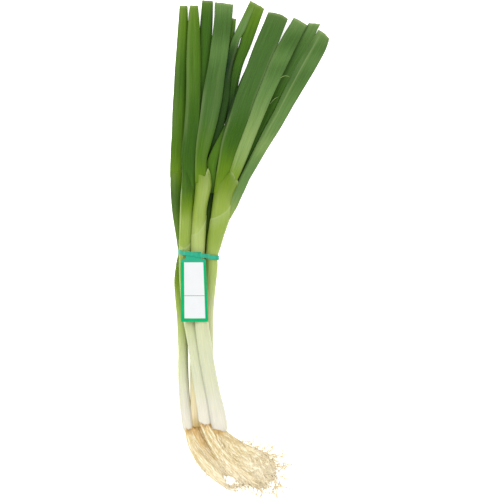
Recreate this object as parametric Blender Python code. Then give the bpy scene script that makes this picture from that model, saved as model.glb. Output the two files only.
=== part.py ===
"""A bunch of five spring onions, tied by a band with a blank tag, lying on a flat surface.

Every stem and leaf is a loft of flattened rounds that stand across the bunch. The tables give
each round's middle (x, y), its width along x and its depth along z, all in millimetres. x runs
across the bunch, y from the roots to the leaf tips and z up from the surface. The heights aren't
in the tables: the pieces are laid down one after another, and each comes to rest on the surface
or on the pieces under it.
"""

import math

import bmesh
import bpy
import numpy as np

MM = 0.001
GAP = 0.3  # between pieces that touch
SHANK_SIDES = 12
LEAF_SIDES = 10
LAY_STEPS = 6  # places tested between two rounds while a piece is laid down
LAY_ROUNDS = 400
LAY_SINK = 0.02  # how far a loose piece drops in each round
ABSENT = -1e3  # a height that never holds anything up

BAND_WIDTH = 4.4
BAND_THICKNESS = 0.6
BAND_MIDDLE_Y = 0.8
BAND_SLANT = -0.145  # the band crosses the bunch about 8 degrees off square
BAND_FLAT = (-9.0, 9.0)  # ends of its flat underside
BAND_POINTS = 44
BAND_REACH = 7.0  # how far to each side of its middle line the stems lie over the band

TAG_THICKNESS = 0.7
TAG_TABLE = [  # x, y, width: the neck under the band, then the panel
    (0.5, 3.0, 15.0),
    (0.5, -3.4, 15.0),
    (0.15, -4.6, 24.3),
    (0.8, -35.0, 25.3),
    (1.5, -66.5, 26.3),
]

LEAF_WALL = (0.95, 0.8)  # across and through the thickness, at a cut tip
POCKET_DEPTH = 13.0

PLATE_STEPS = ((0.0, 0.92), (2.0, 0.86), (4.2, 0.62), (6.0, 0.30))  # below the shank, part of its size
PLATE_SIDES = 8
STRAND_COUNT = 19
STRAND_SIDES = 3
STRAND_STEPS = 6
STRAND_RADIUS = (0.62, 0.42)  # at the crown and at the tip
STRAND_REACH = (0.72, 1.0)  # part of the way to the tuft's line of tips
STRAY_REACH = (1.0, 1.16)
STRAY_SHARE = 0.2
CROWN_SPREAD = 4.4  # the width of the plate that strands start from
CROWN_DEPTH = 1.0  # how far inside the plate they start
SPREAD_BY = 0.35  # part of the way at which a tuft fills its layer
TUFT_BOTTOM = 0.8
TUFT_TOP = (20.0, 13.0)  # of the upper roots, at the crowns and at the tips
LAYER_HEIGHT = (10.2, 6.2)  # between lower and upper roots, at the crowns and at the tips
LAYER_CLEARANCE = 0.9
SEED = 5

# Each shank from its root end to the rim of its sheath: x, y, width, depth
SHANKS = {
    "a": [
        (-5.6, -177.0, 6.0, 6.0), (-5.6, -174.5, 9.4, 9.0), (-5.7, -170.0, 10.8, 10.4),
        (-7.4, -155.0, 10.8, 10.4), (-8.6, -145.0, 10.0, 9.6), (-9.6, -125.0, 9.8, 9.4),
        (-10.1, -105.0, 9.8, 9.4), (-10.2, -85.0, 9.8, 9.4), (-10.9, -65.0, 9.8, 9.4),
        (-12.2, -45.0, 10.2, 9.8), (-13.0, -25.0, 10.4, 10.0), (-10.8, -9.0, 10.6, 10.0),
        (-9.6, 0.0, 10.6, 10.0), (-10.4, 10.0, 10.6, 10.0), (-12.7, 25.0, 10.6, 10.0),
        (-15.2, 42.0, 11.0, 9.6), (-16.0, 55.0, 11.5, 9.2), (-16.0, 85.0, 12.2, 8.0),
        (-15.7, 95.0, 10.4, 6.0),
    ],
    "b": [
        (4.9, -175.0, 5.6, 5.6), (4.9, -172.5, 8.4, 8.2), (4.8, -167.0, 9.8, 9.4),
        (3.9, -155.0, 10.2, 9.8), (3.1, -145.0, 10.0, 9.6), (2.5, -125.0, 10.0, 9.6),
        (2.2, -105.0, 10.0, 9.6), (2.0, -85.0, 9.8, 9.4), (2.5, -65.0, 9.6, 9.2),
        (4.0, -45.0, 9.4, 9.0), (6.5, -25.0, 9.4, 9.0), (9.4, 0.0, 9.6, 9.2),
        (12.4, 15.0, 9.6, 9.2), (14.5, 35.0, 9.8, 9.0), (17.0, 55.0, 10.2, 8.6),
        (18.4, 65.0, 10.4, 8.0), (19.0, 71.0, 8.8, 6.0),
    ],
    "e": [
        (18.0, -171.5, 7.0, 7.0), (17.8, -169.0, 10.2, 9.8), (17.2, -163.0, 11.5, 11.0),
        (16.0, -145.0, 11.5, 11.0), (15.0, -125.0, 11.4, 11.0), (14.6, -105.0, 11.4, 11.0),
        (14.1, -85.0, 11.6, 11.0), (14.2, -60.0, 11.6, 11.0), (15.8, -35.0, 12.0, 11.4),
        (17.2, -21.0, 12.4, 11.6), (18.4, -7.0, 12.6, 11.8), (19.1, 2.0, 12.6, 11.8),
        (21.7, 15.0, 15.2, 12.2), (24.2, 25.0, 16.6, 12.2), (26.4, 35.0, 18.2, 12.0),
        (27.9, 45.0, 18.8, 11.8), (29.2, 55.0, 18.6, 11.4), (31.3, 65.0, 21.0, 11.0),
        (33.7, 75.0, 23.0, 10.4), (34.3, 81.0, 20.0, 7.6),
    ],
    "c": [
        (11.8, -172.0, 6.4, 6.4), (11.7, -169.5, 9.6, 9.4), (11.3, -165.0, 11.4, 11.0),
        (10.1, -155.0, 11.7, 11.4), (8.7, -145.0, 11.4, 11.0), (6.9, -135.0, 10.8, 10.4),
        (3.9, -115.0, 10.5, 10.0), (1.0, -95.0, 9.6, 9.2), (-2.8, -75.0, 9.5, 9.1),
        (-4.6, -67.0, 9.8, 9.4), (-7.0, -45.0, 10.2, 9.8), (-8.5, -25.0, 10.4, 10.0),
        (-8.8, -5.0, 10.4, 10.0), (-8.7, 8.0, 10.5, 10.1), (-7.8, 25.0, 11.6, 10.5),
        (-7.0, 45.0, 12.0, 10.4), (-6.0, 55.0, 13.4, 10.0), (-5.3, 65.0, 14.6, 9.6),
        (-4.9, 74.0, 14.2, 8.6), (-4.4, 80.0, 12.0, 6.6),
    ],
    "d": [
        (27.0, -177.5, 9.0, 9.0), (26.7, -174.0, 13.4, 13.0), (25.9, -167.0, 16.2, 15.6),
        (24.0, -155.0, 15.6, 15.0), (21.9, -145.0, 14.1, 13.5), (19.7, -135.0, 13.4, 12.8),
        (16.1, -115.0, 13.0, 12.4), (13.0, -95.0, 12.5, 12.0), (10.1, -75.0, 12.2, 11.6),
        (7.0, -45.0, 12.4, 11.8), (5.8, -25.0, 12.6, 12.0), (5.2, -5.0, 12.8, 12.2),
        (5.3, 8.0, 12.9, 12.2), (5.7, 25.0, 13.4, 12.2), (6.8, 45.0, 13.2, 11.6),
        (8.1, 55.0, 13.4, 11.0), (9.4, 65.0, 13.8, 10.4), (10.2, 75.0, 14.5, 9.6),
        (10.3, 83.0, 15.3, 8.6), (10.2, 89.0, 12.6, 6.6),
    ],
}

# Each leaf from inside its sheath to its cut tip. "lift" sets the first rounds above or below the
# shank's middle, "held" counts them, and "tip_slope" slants the cut.
LEAVES = {
    "b1": {"lift": -2.2, "held": 2, "tip_slope": -0.1, "table": [
        (18.0, 58.0, 5.5, 2.0), (17.6, 67.0, 6.4, 2.2), (16.4, 78.0, 7.6, 3.0),
        (15.8, 95.0, 8.8, 3.2), (17.2, 115.0, 9.6, 3.4), (20.2, 135.0, 10.0, 3.5),
        (24.0, 155.0, 10.2, 3.5), (27.5, 175.0, 10.2, 3.5), (31.0, 195.0, 10.0, 3.4),
        (34.8, 212.0, 9.8, 3.4), (37.5, 226.0, 9.4, 3.3), (38.5, 236.2, 9.0, 3.2),
    ]},
    "b2": {"lift": 0.0, "held": 2, "tip_slope": -0.43, "table": [
        (18.8, 58.0, 6.0, 2.0), (19.6, 67.0, 7.0, 2.2), (21.4, 77.0, 8.2, 3.0),
        (24.4, 87.0, 8.8, 3.4), (30.4, 102.0, 10.4, 3.8), (35.0, 115.0, 11.4, 4.0),
        (37.4, 127.0, 11.8, 4.0), (37.8, 142.0, 12.0, 4.0), (38.8, 158.0, 12.0, 4.0),
        (41.4, 176.0, 12.0, 4.0), (46.0, 195.0, 12.3, 3.9),
        (50.0, 205.0, 13.0, 3.8), (53.6, 215.0, 13.0, 3.8), (57.4, 225.0, 12.3, 3.7),
        (61.2, 235.0, 11.9, 3.6), (64.8, 244.0, 10.9, 3.5), (67.0, 249.0, 9.8, 3.4),
    ]},
    "b3": {"lift": 2.2, "held": 2, "tip_slope": -0.4, "table": [
        (18.2, 58.0, 5.0, 2.0), (17.9, 67.0, 5.8, 2.2), (17.5, 80.0, 7.0, 2.8),
        (17.6, 95.0, 8.4, 3.2), (20.8, 114.0, 9.2, 3.3), (24.4, 127.0, 9.6, 3.4),
        (27.8, 141.0, 9.6, 3.4), (30.8, 157.0, 9.2, 3.4), (32.4, 177.0, 8.0, 3.3),
        (36.0, 195.0, 7.5, 3.2), (42.5, 215.0, 7.9, 3.1),
        (47.0, 225.0, 7.5, 3.0), (51.5, 235.0, 7.0, 2.9), (56.0, 245.0, 6.3, 2.8),
        (59.8, 252.4, 5.6, 2.7),
    ]},
    "a1": {"lift": 0.0, "held": 2, "tip_slope": 0.0, "table": [
        (-16.0, 78.0, 7.5, 3.2), (-15.9, 90.0, 9.6, 4.4), (-15.4, 98.0, 12.0, 5.2),
        (-15.0, 106.0, 13.2, 5.2), (-14.5, 120.0, 12.6, 5.0), (-14.2, 135.0, 12.2, 4.8),
        (-13.5, 155.0, 12.2, 4.6), (-11.8, 185.0, 12.2, 4.4), (-9.9, 215.0, 12.0, 4.2),
        (-8.2, 240.0, 11.2, 4.0), (-7.8, 249.0, 10.8, 3.8),
    ]},
    "e1": {"lift": -3.2, "held": 2, "tip_slope": -0.1, "table": [
        (31.0, 46.0, 6.0, 2.4), (36.0, 57.0, 7.4, 2.8), (42.0, 70.0, 9.2, 3.6),
        (48.5, 85.0, 11.0, 4.0), (56.5, 105.0, 12.0, 4.1), (65.0, 125.0, 12.2, 4.1),
        (74.2, 145.0, 12.4, 4.0), (84.0, 165.0, 12.5, 3.9), (95.0, 185.0, 12.5, 3.7),
        (106.0, 205.0, 12.4, 3.5), (114.5, 220.0, 12.1, 3.3), (121.0, 231.2, 11.3, 3.2),
    ]},
    "c1": {"lift": -2.2, "held": 2, "tip_slope": 0.0, "table": [
        (-5.0, 66.0, 7.0, 2.6), (-4.4, 76.0, 8.4, 3.0), (-2.8, 86.0, 9.6, 3.8),
        (-0.8, 100.0, 10.8, 4.1), (1.8, 120.0, 11.6, 4.1), (4.6, 143.0, 12.2, 4.1),
        (7.4, 166.0, 12.8, 4.0), (9.8, 188.0, 13.0, 3.8), (12.0, 212.0, 13.0, 3.7),
        (13.5, 235.0, 12.7, 3.5), (14.4, 254.3, 11.0, 3.3),
    ]},
    "d1": {"lift": -2.6, "held": 2, "tip_slope": -0.4, "table": [
        (10.6, 73.0, 5.5, 2.2), (13.2, 83.0, 6.4, 2.4), (18.0, 94.0, 8.0, 3.2),
        (22.8, 105.0, 8.8, 3.4), (28.4, 115.0, 9.0, 3.4), (33.8, 125.0, 9.0, 3.3),
        (37.6, 135.0, 9.0, 3.3), (43.0, 152.0, 9.0, 3.2), (52.0, 176.0, 8.6, 3.1),
        (61.0, 197.0, 8.2, 3.0), (70.5, 220.0, 7.4, 2.8),
    ]},
    "c2": {"lift": 2.0, "held": 2, "tip_slope": 0.0, "table": [
        (-5.0, 64.0, 8.0, 3.2), (-4.6, 75.0, 11.0, 4.0), (-4.2, 85.0, 12.8, 4.8),
        (-4.7, 95.0, 14.4, 5.1), (-4.0, 105.0, 14.2, 5.1), (-2.2, 125.0, 14.2, 5.0),
        (-0.3, 150.0, 14.0, 4.9), (0.1, 175.0, 13.8, 4.7), (0.2, 195.0, 13.7, 4.6),
        (0.4, 215.0, 13.2, 4.4), (0.7, 235.0, 11.6, 4.2), (1.3, 249.0, 9.5, 4.0),
    ]},
    "e2": {"lift": 0.4, "held": 2, "tip_slope": -0.5, "table": [
        (30.0, 34.0, 6.0, 2.8), (35.4, 45.0, 7.2, 3.4), (42.2, 55.0, 8.8, 4.0),
        (46.6, 65.0, 10.0, 4.4), (50.8, 75.0, 10.8, 4.6), (56.3, 85.0, 11.5, 4.7),
        (66.8, 105.0, 13.4, 4.8), (77.8, 125.0, 16.4, 4.8), (89.0, 145.0, 16.6, 4.6),
        (99.8, 165.0, 18.4, 4.4), (111.0, 185.0, 20.0, 4.2), (122.5, 205.0, 20.0, 4.0),
        (127.2, 214.5, 17.0, 3.8), (130.0, 221.6, 12.4, 3.6),
    ]},
    "e3": {"lift": 1.6, "held": 2, "tip_slope": -0.33, "table": [
        (29.4, 62.0, 8.0, 3.0), (29.5, 73.0, 11.0, 3.8), (30.2, 82.0, 14.0, 4.8),
        (33.2, 95.0, 15.5, 5.2), (35.6, 105.0, 17.2, 5.4), (38.6, 115.0, 19.0, 5.5),
        (45.4, 135.0, 20.9, 5.5), (52.0, 155.0, 21.0, 5.3), (59.4, 175.0, 22.0, 5.1),
        (67.1, 195.0, 22.0, 4.9), (75.2, 215.0, 23.2, 4.6), (83.0, 234.0, 22.6, 4.3),
        (85.0, 239.0, 20.6, 4.2),
    ]},
    "d2": {"lift": 1.8, "held": 2, "tip_slope": -0.12, "table": [
        (8.7, 72.0, 7.5, 3.0), (8.0, 83.0, 9.0, 3.6), (7.8, 91.0, 10.6, 4.6),
        (8.4, 98.0, 11.2, 4.8), (9.8, 105.0, 13.5, 5.0), (11.5, 115.0, 15.2, 5.1),
        (13.8, 125.0, 16.6, 5.1), (15.8, 135.0, 18.0, 5.1), (19.0, 155.0, 19.2, 5.0),
        (21.8, 175.0, 18.9, 4.8), (25.2, 195.0, 17.9, 4.6), (27.6, 215.0, 17.6, 4.4),
        (30.2, 236.0, 17.0, 4.2), (30.9, 251.8, 17.2, 3.9),
    ]},
    "e4": {"lift": 3.0, "held": 2, "tip_slope": -0.5, "table": [
        (36.4, 60.0, 5.4, 2.4), (39.6, 72.0, 7.4, 3.0), (43.2, 82.0, 9.2, 4.2),
        (47.7, 95.0, 10.5, 4.8), (54.7, 115.0, 12.4, 5.0), (62.4, 135.0, 13.0, 5.0),
        (69.8, 155.0, 14.6, 4.8), (78.4, 175.0, 16.1, 4.6), (87.1, 195.0, 18.1, 4.4),
        (96.4, 215.0, 19.0, 4.1), (101.8, 226.0, 17.8, 3.9), (105.8, 233.4, 14.4, 3.7),
    ]},
}

# The order in which the pieces are laid down, lowest first
LAYING_ORDER = [
    "shank_a", "shank_b", "leaf_b1", "leaf_b2", "leaf_b3", "leaf_a1", "shank_e", "leaf_e1",
    "shank_c", "leaf_c1", "shank_d", "leaf_d1", "leaf_c2", "leaf_e2", "leaf_e3", "leaf_d2",
    "leaf_e4",
]

# Each root tuft: the points its strands bend over and the line their tips reach, left to right
TUFTS = {
    "a": {"layer": "lower", "bend": [(-8.0, -208.0), (2.0, -213.0)],
          "tips": [(14.0, -217.0), (24.0, -226.0), (35.0, -234.0)]},
    "b": {"layer": "lower", "bend": [(7.0, -208.0), (16.0, -208.0)],
          "tips": [(39.0, -231.5), (54.0, -235.0)]},
    "e": {"layer": "lower", "bend": [(23.0, -202.0), (31.0, -192.0)],
          "tips": [(59.0, -232.0), (74.0, -228.0), (80.0, -210.0)]},
    "c": {"layer": "upper", "bend": [(11.0, -206.0), (24.0, -204.0)],
          "tips": [(31.0, -228.0), (50.0, -234.0), (65.0, -236.0)]},
    "d": {"layer": "upper", "bend": [(33.0, -206.0), (38.0, -188.0)],
          "tips": [(70.0, -235.0), (84.0, -224.0), (84.0, -206.0), (62.0, -193.0)]},
}

LEAF_COLOURS = {
    "a1": (0.085, 0.200, 0.022), "b1": (0.018, 0.060, 0.010), "b2": (0.042, 0.110, 0.014),
    "b3": (0.050, 0.120, 0.018), "c1": (0.050, 0.115, 0.020), "c2": (0.100, 0.220, 0.020),
    "d1": (0.022, 0.070, 0.010), "d2": (0.085, 0.180, 0.055), "e1": (0.020, 0.065, 0.012),
    "e2": (0.075, 0.170, 0.055), "e3": (0.070, 0.160, 0.050), "e4": (0.160, 0.290, 0.110),
}


def clear_scene():
    for thing in list(bpy.data.objects):
        bpy.data.objects.remove(thing, do_unlink=True)


def new_collection(name):
    made = bpy.data.collections.new(name)
    bpy.context.scene.collection.children.link(made)
    return made


def new_material(name, colour, roughness):
    made = bpy.data.materials.new(name)
    made.use_nodes = True
    shader = made.node_tree.nodes["Principled BSDF"]
    shader.inputs["Base Color"].default_value = (*colour, 1.0)
    shader.inputs["Roughness"].default_value = roughness
    return made


class Piece:
    """A stem or leaf as rounds across the bunch: x, y, width, depth and, once laid, the height z."""

    def __init__(self, name, table):
        self.name = name
        self.x, self.y, self.width, self.depth = np.array(table, float).T
        self.z = np.zeros_like(self.x)

    def at(self, y):
        """x, half width, z and half depth at y."""
        x, width, z, depth = (
            np.interp(y, self.y, values) for values in (self.x, self.width, self.z, self.depth)
        )
        return x, width / 2, z, depth / 2

    def top(self, x, y):
        """Height of its upper side over the point, or far below where it isn't."""
        middle, half_width, z, half_depth = self.at(y)
        across = np.abs(x - middle) / (half_width + GAP / 2)
        inside = (across < 1) & (y > self.y[0] - GAP) & (y < self.y[-1] + GAP)
        rise = np.sqrt(np.clip(1 - across**2, 0, None))
        return np.where(inside, z + half_depth * rise, ABSENT)


def surface_height(y):
    """The surface, or the band's inside where the band runs under the shanks."""
    return np.where(np.abs(y) < BAND_REACH, BAND_THICKNESS + GAP, 0.0)


def lowest_middle(piece, laid, y, square=False):
    """The lowest height that the piece's middle may have at each y, over everything laid so far."""
    x, half_width, _, half_depth = piece.at(y)
    across = np.linspace(-1, 1, 21)[:, None]
    under = half_depth * (np.ones_like(across) if square else np.sqrt(1 - across**2))
    points = x + across * half_width
    highest = np.broadcast_to(surface_height(y) + under, points.shape)
    for other in laid:
        highest = np.maximum(highest, other.top(points, y) + GAP + under)
    return highest.max(axis=0)


def lay_down(piece, laid, held=0):
    """Set the piece's heights: pulled down and straightened in turn, and kept above what is under it."""
    count = len(piece.y)
    place = np.linspace(0, count - 1, (count - 1) * LAY_STEPS + 1)
    y = np.interp(place, np.arange(count), piece.y)
    weights = np.clip(1 - np.abs(place[:, None] - np.arange(count)), 0, None)
    lowest = lowest_middle(piece, laid, y)
    if held:
        lowest[: (held - 1) * LAY_STEPS + LAY_STEPS // 2] = ABSENT
    start = piece.z[:held].copy()
    z = np.maximum(lowest, 0)[::LAY_STEPS].copy()
    z[:held] = start
    spacing = np.diff(piece.y)
    share = spacing[:-1] / (spacing[:-1] + spacing[1:])
    for _ in range(LAY_ROUNDS):
        straight = z[:-2] * (1 - share) + z[2:] * share
        z[1:-1] += 0.5 * (straight - z[1:-1])
        z[0] = z[1] - (z[2] - z[1]) * spacing[0] / spacing[1]
        z[-1] = z[-2] + (z[-2] - z[-3]) * spacing[-1] / spacing[-2]
        z[held:] -= LAY_SINK
        z[:held] = start
        short = np.clip(lowest - weights @ z, 0, None)
        z += (weights * short[:, None]).max(axis=0)
        z[:held] = start
    for _ in range(20):
        short = np.clip(lowest - weights @ z, 0, None)
        lift = ((weights > 0) * short[:, None]).max(axis=0)
        lift[:held] = 0
        z += lift
    piece.z = z


def lay_bunch():
    """Every shank and leaf with its heights, lowest first, by name."""
    pieces = {}
    for name in LAYING_ORDER:
        kind, key = name.split("_")
        if kind == "shank":
            piece = Piece(name, SHANKS[key])
            lay_down(piece, list(pieces.values()))
        else:
            leaf = LEAVES[key]
            piece = Piece(name, leaf["table"])
            sheath = pieces["shank_" + key[0]]
            held = leaf["held"]
            piece.z[:held] = sheath.at(piece.y[:held])[2] + leaf["lift"]
            lay_down(piece, [other for other in pieces.values() if other is not sheath], held)
        pieces[name] = piece
    return pieces


def ring(x, y, z, half_width, half_depth, sides, slope=0.0):
    """One round across the bunch, whose y leans with x by the slope."""
    angle = 2 * math.pi * (np.arange(sides) + 0.5) / sides
    across = half_width * np.cos(angle)
    return np.stack([x + across, y + slope * across, z + half_depth * np.sin(angle)], axis=1)


def loft(name, rings, collection, material=None):
    """One closed body through the rings, which all have the same number of points."""
    count, sides = len(rings), len(rings[0])
    points = np.concatenate(rings) * MM
    corner = np.arange(sides)
    after = (corner + 1) % sides
    faces = []
    for index in range(count - 1):
        low, high = index * sides, (index + 1) * sides
        faces += np.stack([low + corner, low + after, high + after, high + corner], 1).tolist()
    faces.append(corner[::-1].tolist())
    faces.append(((count - 1) * sides + corner).tolist())
    mesh = bpy.data.meshes.new(name)
    mesh.from_pydata(points.tolist(), [], faces)
    built = bmesh.new()
    built.from_mesh(mesh)
    bmesh.ops.recalc_face_normals(built, faces=built.faces)
    built.to_mesh(mesh)
    built.free()
    mesh.shade_smooth()
    mesh.set_sharp_from_angle(angle=math.radians(50))
    made = bpy.data.objects.new(name, mesh)
    collection.objects.link(made)
    if material:
        mesh.materials.append(material)
    return made


def shank_rings(piece, grown=0.0):
    """The shank's rounds, or those of a body larger than it by grown on every side."""
    y = piece.y.copy()
    y[0] -= grown
    y[-1] += grown
    rows = zip(piece.x, y, piece.z, piece.width / 2 + grown, piece.depth / 2 + grown)
    return [ring(*row, SHANK_SIDES) for row in rows]


def leaf_rings(piece, slope):
    """The leaf's rounds out to the cut tip, then back in along the hollow."""
    last = len(piece.y) - 1
    rows = zip(piece.x, piece.y, piece.z, piece.width / 2, piece.depth / 2)
    lean = [slope if index == last else 0.0 for index in range(last + 1)]
    rings = [ring(*row, LEAF_SIDES, tilt) for row, tilt in zip(rows, lean)]
    for inward, tilt in ((0.0, slope), (POCKET_DEPTH * 0.5, 0.0), (POCKET_DEPTH, 0.0)):
        x, half_width, z, half_depth = piece.at(piece.y[-1] - inward)
        shrink = 1 - 0.4 * inward / POCKET_DEPTH
        inner = (half_width - LEAF_WALL[0]) * shrink, (half_depth - LEAF_WALL[1]) * shrink
        rings.append(ring(x, piece.y[-1] - inward, z, *inner, LEAF_SIDES, tilt))
    return rings


def build_shank(piece, collection, cutters):
    material = new_material("pale_stem", (0.62, 0.66, 0.42), 0.35)
    loft(piece.name, shank_rings(piece), collection, material)
    cutter = loft(piece.name + "_room", shank_rings(piece, GAP), cutters)
    cutter.hide_render = True
    cutter.display_type = "WIRE"
    return cutter


def build_leaf(piece, cutter, collection):
    """A leaf that comes out of its sheath, cut back to leave the gap round the shank."""
    key = piece.name.split("_")[1]
    material = new_material("leaf_" + key, LEAF_COLOURS[key], 0.42)
    leaf = loft(piece.name, leaf_rings(piece, LEAVES[key]["tip_slope"]), collection, material)
    cut = leaf.modifiers.new("sheath", "BOOLEAN")
    cut.operation = "DIFFERENCE"
    cut.object = cutter


def along(points, place):
    """The points at places from 0 to 1 along a short list of points."""
    steps = np.linspace(0, 1, len(points))
    return np.stack([np.interp(place, steps, column) for column in np.array(points).T], axis=-1)


def strand_rings(draw, crown, tuft):
    """One root: from inside the crown down and away, then over to its tip, between its layer's limits."""
    x0, y0, z0 = crown
    lane = draw.uniform(0.04, 0.96)
    reach = draw.uniform(*(STRAY_REACH if draw.random() < STRAY_SHARE else STRAND_REACH))
    level = draw.uniform(0.0, 1.0)
    phase = draw.uniform(0, 2 * math.pi)
    t = np.linspace(0, reach, STRAND_STEPS)
    lanes = np.clip(lane + 0.10 * t * np.sin(5.0 * t + phase), 0.02, 0.98)
    levels = np.clip(level + 0.25 * t * np.cos(4.0 * t + phase), 0, 1)
    start = np.stack([x0 + (lanes - 0.5) * CROWN_SPREAD, np.full_like(t, y0 - CROWN_DEPTH)], axis=1)
    bend = along(tuft["bend"], lanes)
    tips = along(tuft["tips"], lanes)
    part = t[:, None]
    route = start * (1 - part) ** 2 + 2 * bend * part * (1 - part) + tips * part**2
    divide = LAYER_HEIGHT[0] + (LAYER_HEIGHT[1] - LAYER_HEIGHT[0]) * t
    if tuft["layer"] == "lower":
        low, high = TUFT_BOTTOM, divide - LAYER_CLEARANCE
    else:
        low, high = divide + LAYER_CLEARANCE, TUFT_TOP[0] + (TUFT_TOP[1] - TUFT_TOP[0]) * t
    spread = np.clip(t / SPREAD_BY, 0, 1)
    blend = spread**2 * (3 - 2 * spread)
    z = (z0 + (level - 0.5) * CROWN_SPREAD) * (1 - blend) + (low + levels * (high - low)) * blend
    radius = STRAND_RADIUS[0] + (STRAND_RADIUS[1] - STRAND_RADIUS[0]) * t / reach
    centre = np.column_stack([route, z])
    ahead = np.gradient(centre, axis=0)
    ahead /= np.linalg.norm(ahead, axis=1, keepdims=True)
    side = np.cross(ahead, (0.0, 0.0, 1.0))
    side /= np.linalg.norm(side, axis=1, keepdims=True)
    up = np.cross(side, ahead)
    angle = 2 * math.pi * np.arange(STRAND_SIDES) / STRAND_SIDES + phase
    return [
        centre[i] + radius[i] * (np.cos(angle)[:, None] * side[i] + np.sin(angle)[:, None] * up[i])
        for i in range(STRAND_STEPS)
    ]


def keep_largest_body(mesh):
    """Delete the loose scraps that a union leaves."""
    built = bmesh.new()
    built.from_mesh(mesh)
    left = set(built.verts)
    bodies = []
    while left:
        body = set()
        ahead = {left.pop()}
        while ahead:
            point = ahead.pop()
            body.add(point)
            ahead |= {edge.other_vert(point) for edge in point.link_edges} - body
        left -= body
        bodies.append(body)
    largest = max(bodies, key=len)
    loose = [point for point in built.verts if point not in largest]
    bmesh.ops.delete(built, geom=loose, context="VERTS")
    built.to_mesh(mesh)
    built.free()


def build_roots(key, shank, collection, material):
    """A tuft: the small root plate under the shank and the strands that grow from it, fused."""
    draw = np.random.default_rng(SEED + ord(key))
    x0, y0, z0 = shank.x[0], shank.y[0] - GAP, shank.z[0]
    size = shank.width[0] / 2
    rings = [
        ring(x0, y0 - down, z0, size * part, size * part, PLATE_SIDES) for down, part in PLATE_STEPS
    ]
    plate = loft("roots_" + key, rings, collection, material)
    strands = bpy.data.collections.new("strands")
    bpy.context.scene.collection.children.link(strands)
    for index in range(STRAND_COUNT):
        rings = strand_rings(draw, (x0, y0, z0), TUFTS[key])
        loft(f"strand_{index}", rings, strands)
    join = plate.modifiers.new("join", "BOOLEAN")
    join.operation = "UNION"
    join.operand_type = "COLLECTION"
    join.collection = strands
    join.solver = "EXACT"
    graph = bpy.context.evaluated_depsgraph_get()
    fused = bpy.data.meshes.new_from_object(plate.evaluated_get(graph))
    keep_largest_body(fused)
    plate.modifiers.clear()
    plate.data = fused
    for strand in list(strands.objects):
        bpy.data.objects.remove(strand, do_unlink=True)
    bpy.data.collections.remove(strands)


def band_outline(rounds, corners, offset):
    """The taut loop round the shanks, as its furthest point in each of many directions."""
    angle = 2 * math.pi * (np.arange(BAND_POINTS) + 0.5) / BAND_POINTS
    direction = np.stack([np.cos(angle), np.sin(angle)], axis=1)
    middle = np.array([[x, z] for x, z, _, _ in rounds])
    radii = np.array([[wide, deep] for _, _, wide, deep in rounds])
    stretched = direction[None] * radii[:, None]
    length = np.linalg.norm(stretched, axis=2, keepdims=True)
    edge = middle[:, None] + stretched * radii[:, None] / length + direction[None] * offset
    fixed = np.array(corners)[:, None] + direction[None] * (offset - GAP)
    every = np.concatenate([edge, fixed])
    reach = (every * direction[None]).sum(axis=2)
    return every[reach.argmax(axis=0), np.arange(BAND_POINTS)]


def build_band(pieces, tag, collection):
    """The band: a flat strip in a closed loop, taut round the five shanks and the tag's neck."""
    rounds = []
    for name, piece in pieces.items():
        if name.startswith("shank"):
            for y in (-5.0, 0.0, 5.0):
                x, half_width, z, half_depth = piece.at(y)
                rounds.append((float(x), float(z), float(half_width), float(half_depth)))
    neck_x, neck_half, neck_z, _ = tag.at(0.0)
    neck_top = float(neck_z) + TAG_THICKNESS / 2 + GAP
    corners = [(x, BAND_THICKNESS) for x in BAND_FLAT]
    corners += [(float(neck_x) + side * float(neck_half), neck_top) for side in (-1, 1)]
    inner = band_outline(rounds, corners, GAP)
    outer = band_outline(rounds, corners, GAP + BAND_THICKNESS)
    outer[:, 1] = np.maximum(outer[:, 1], 0.0)
    flat = np.isclose(outer[:, 1], 0.0, atol=0.12)
    outer[flat, 1] = 0.0
    half = BAND_WIDTH / 2
    rings = []
    for outline, side in ((outer, -half), (outer, half), (inner, half), (inner, -half)):
        y = BAND_MIDDLE_Y + BAND_SLANT * outline[:, 0] + side
        rings.append(np.column_stack([outline[:, 0], y, outline[:, 1]]) * MM)
    corner = np.arange(BAND_POINTS)
    after = (corner + 1) % BAND_POINTS
    faces = []
    for index in range(4):
        low, high = index * BAND_POINTS, (index + 1) % 4 * BAND_POINTS
        faces += np.stack([low + corner, low + after, high + after, high + corner], 1).tolist()
    mesh = bpy.data.meshes.new("tag_band")
    mesh.from_pydata(np.concatenate(rings).tolist(), [], faces)
    built = bmesh.new()
    built.from_mesh(mesh)
    bmesh.ops.recalc_face_normals(built, faces=built.faces)
    built.to_mesh(mesh)
    built.free()
    mesh.materials.append(new_material("green_band", (0.055, 0.48, 0.29), 0.45))
    collection.objects.link(bpy.data.objects.new("tag_band", mesh))


def lay_tag(pieces):
    """The tag lies straight on the highest shanks under it."""
    tag = Piece("tag_label", [(x, y, width, TAG_THICKNESS) for x, y, width in TAG_TABLE[::-1]])
    y = np.linspace(tag.y[0], tag.y[-1], 60)
    lowest = lowest_middle(tag, list(pieces.values()), y, square=True)
    tag.z[:] = lowest.max()
    return tag


def build_tag(tag, collection):
    """A thin flat panel whose neck goes under the band."""
    rings = []
    for x, y, z, width in zip(tag.x, tag.y, tag.z, tag.width):
        half, thick = width / 2, TAG_THICKNESS / 2
        corners = [(half, thick), (-half, thick), (-half, -thick), (half, -thick)]
        rings.append(np.array([(x + across, y, z + up) for across, up in corners]))
    loft("tag_label", rings, collection, new_material("printed_tag", (0.86, 0.87, 0.88), 0.5))


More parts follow.
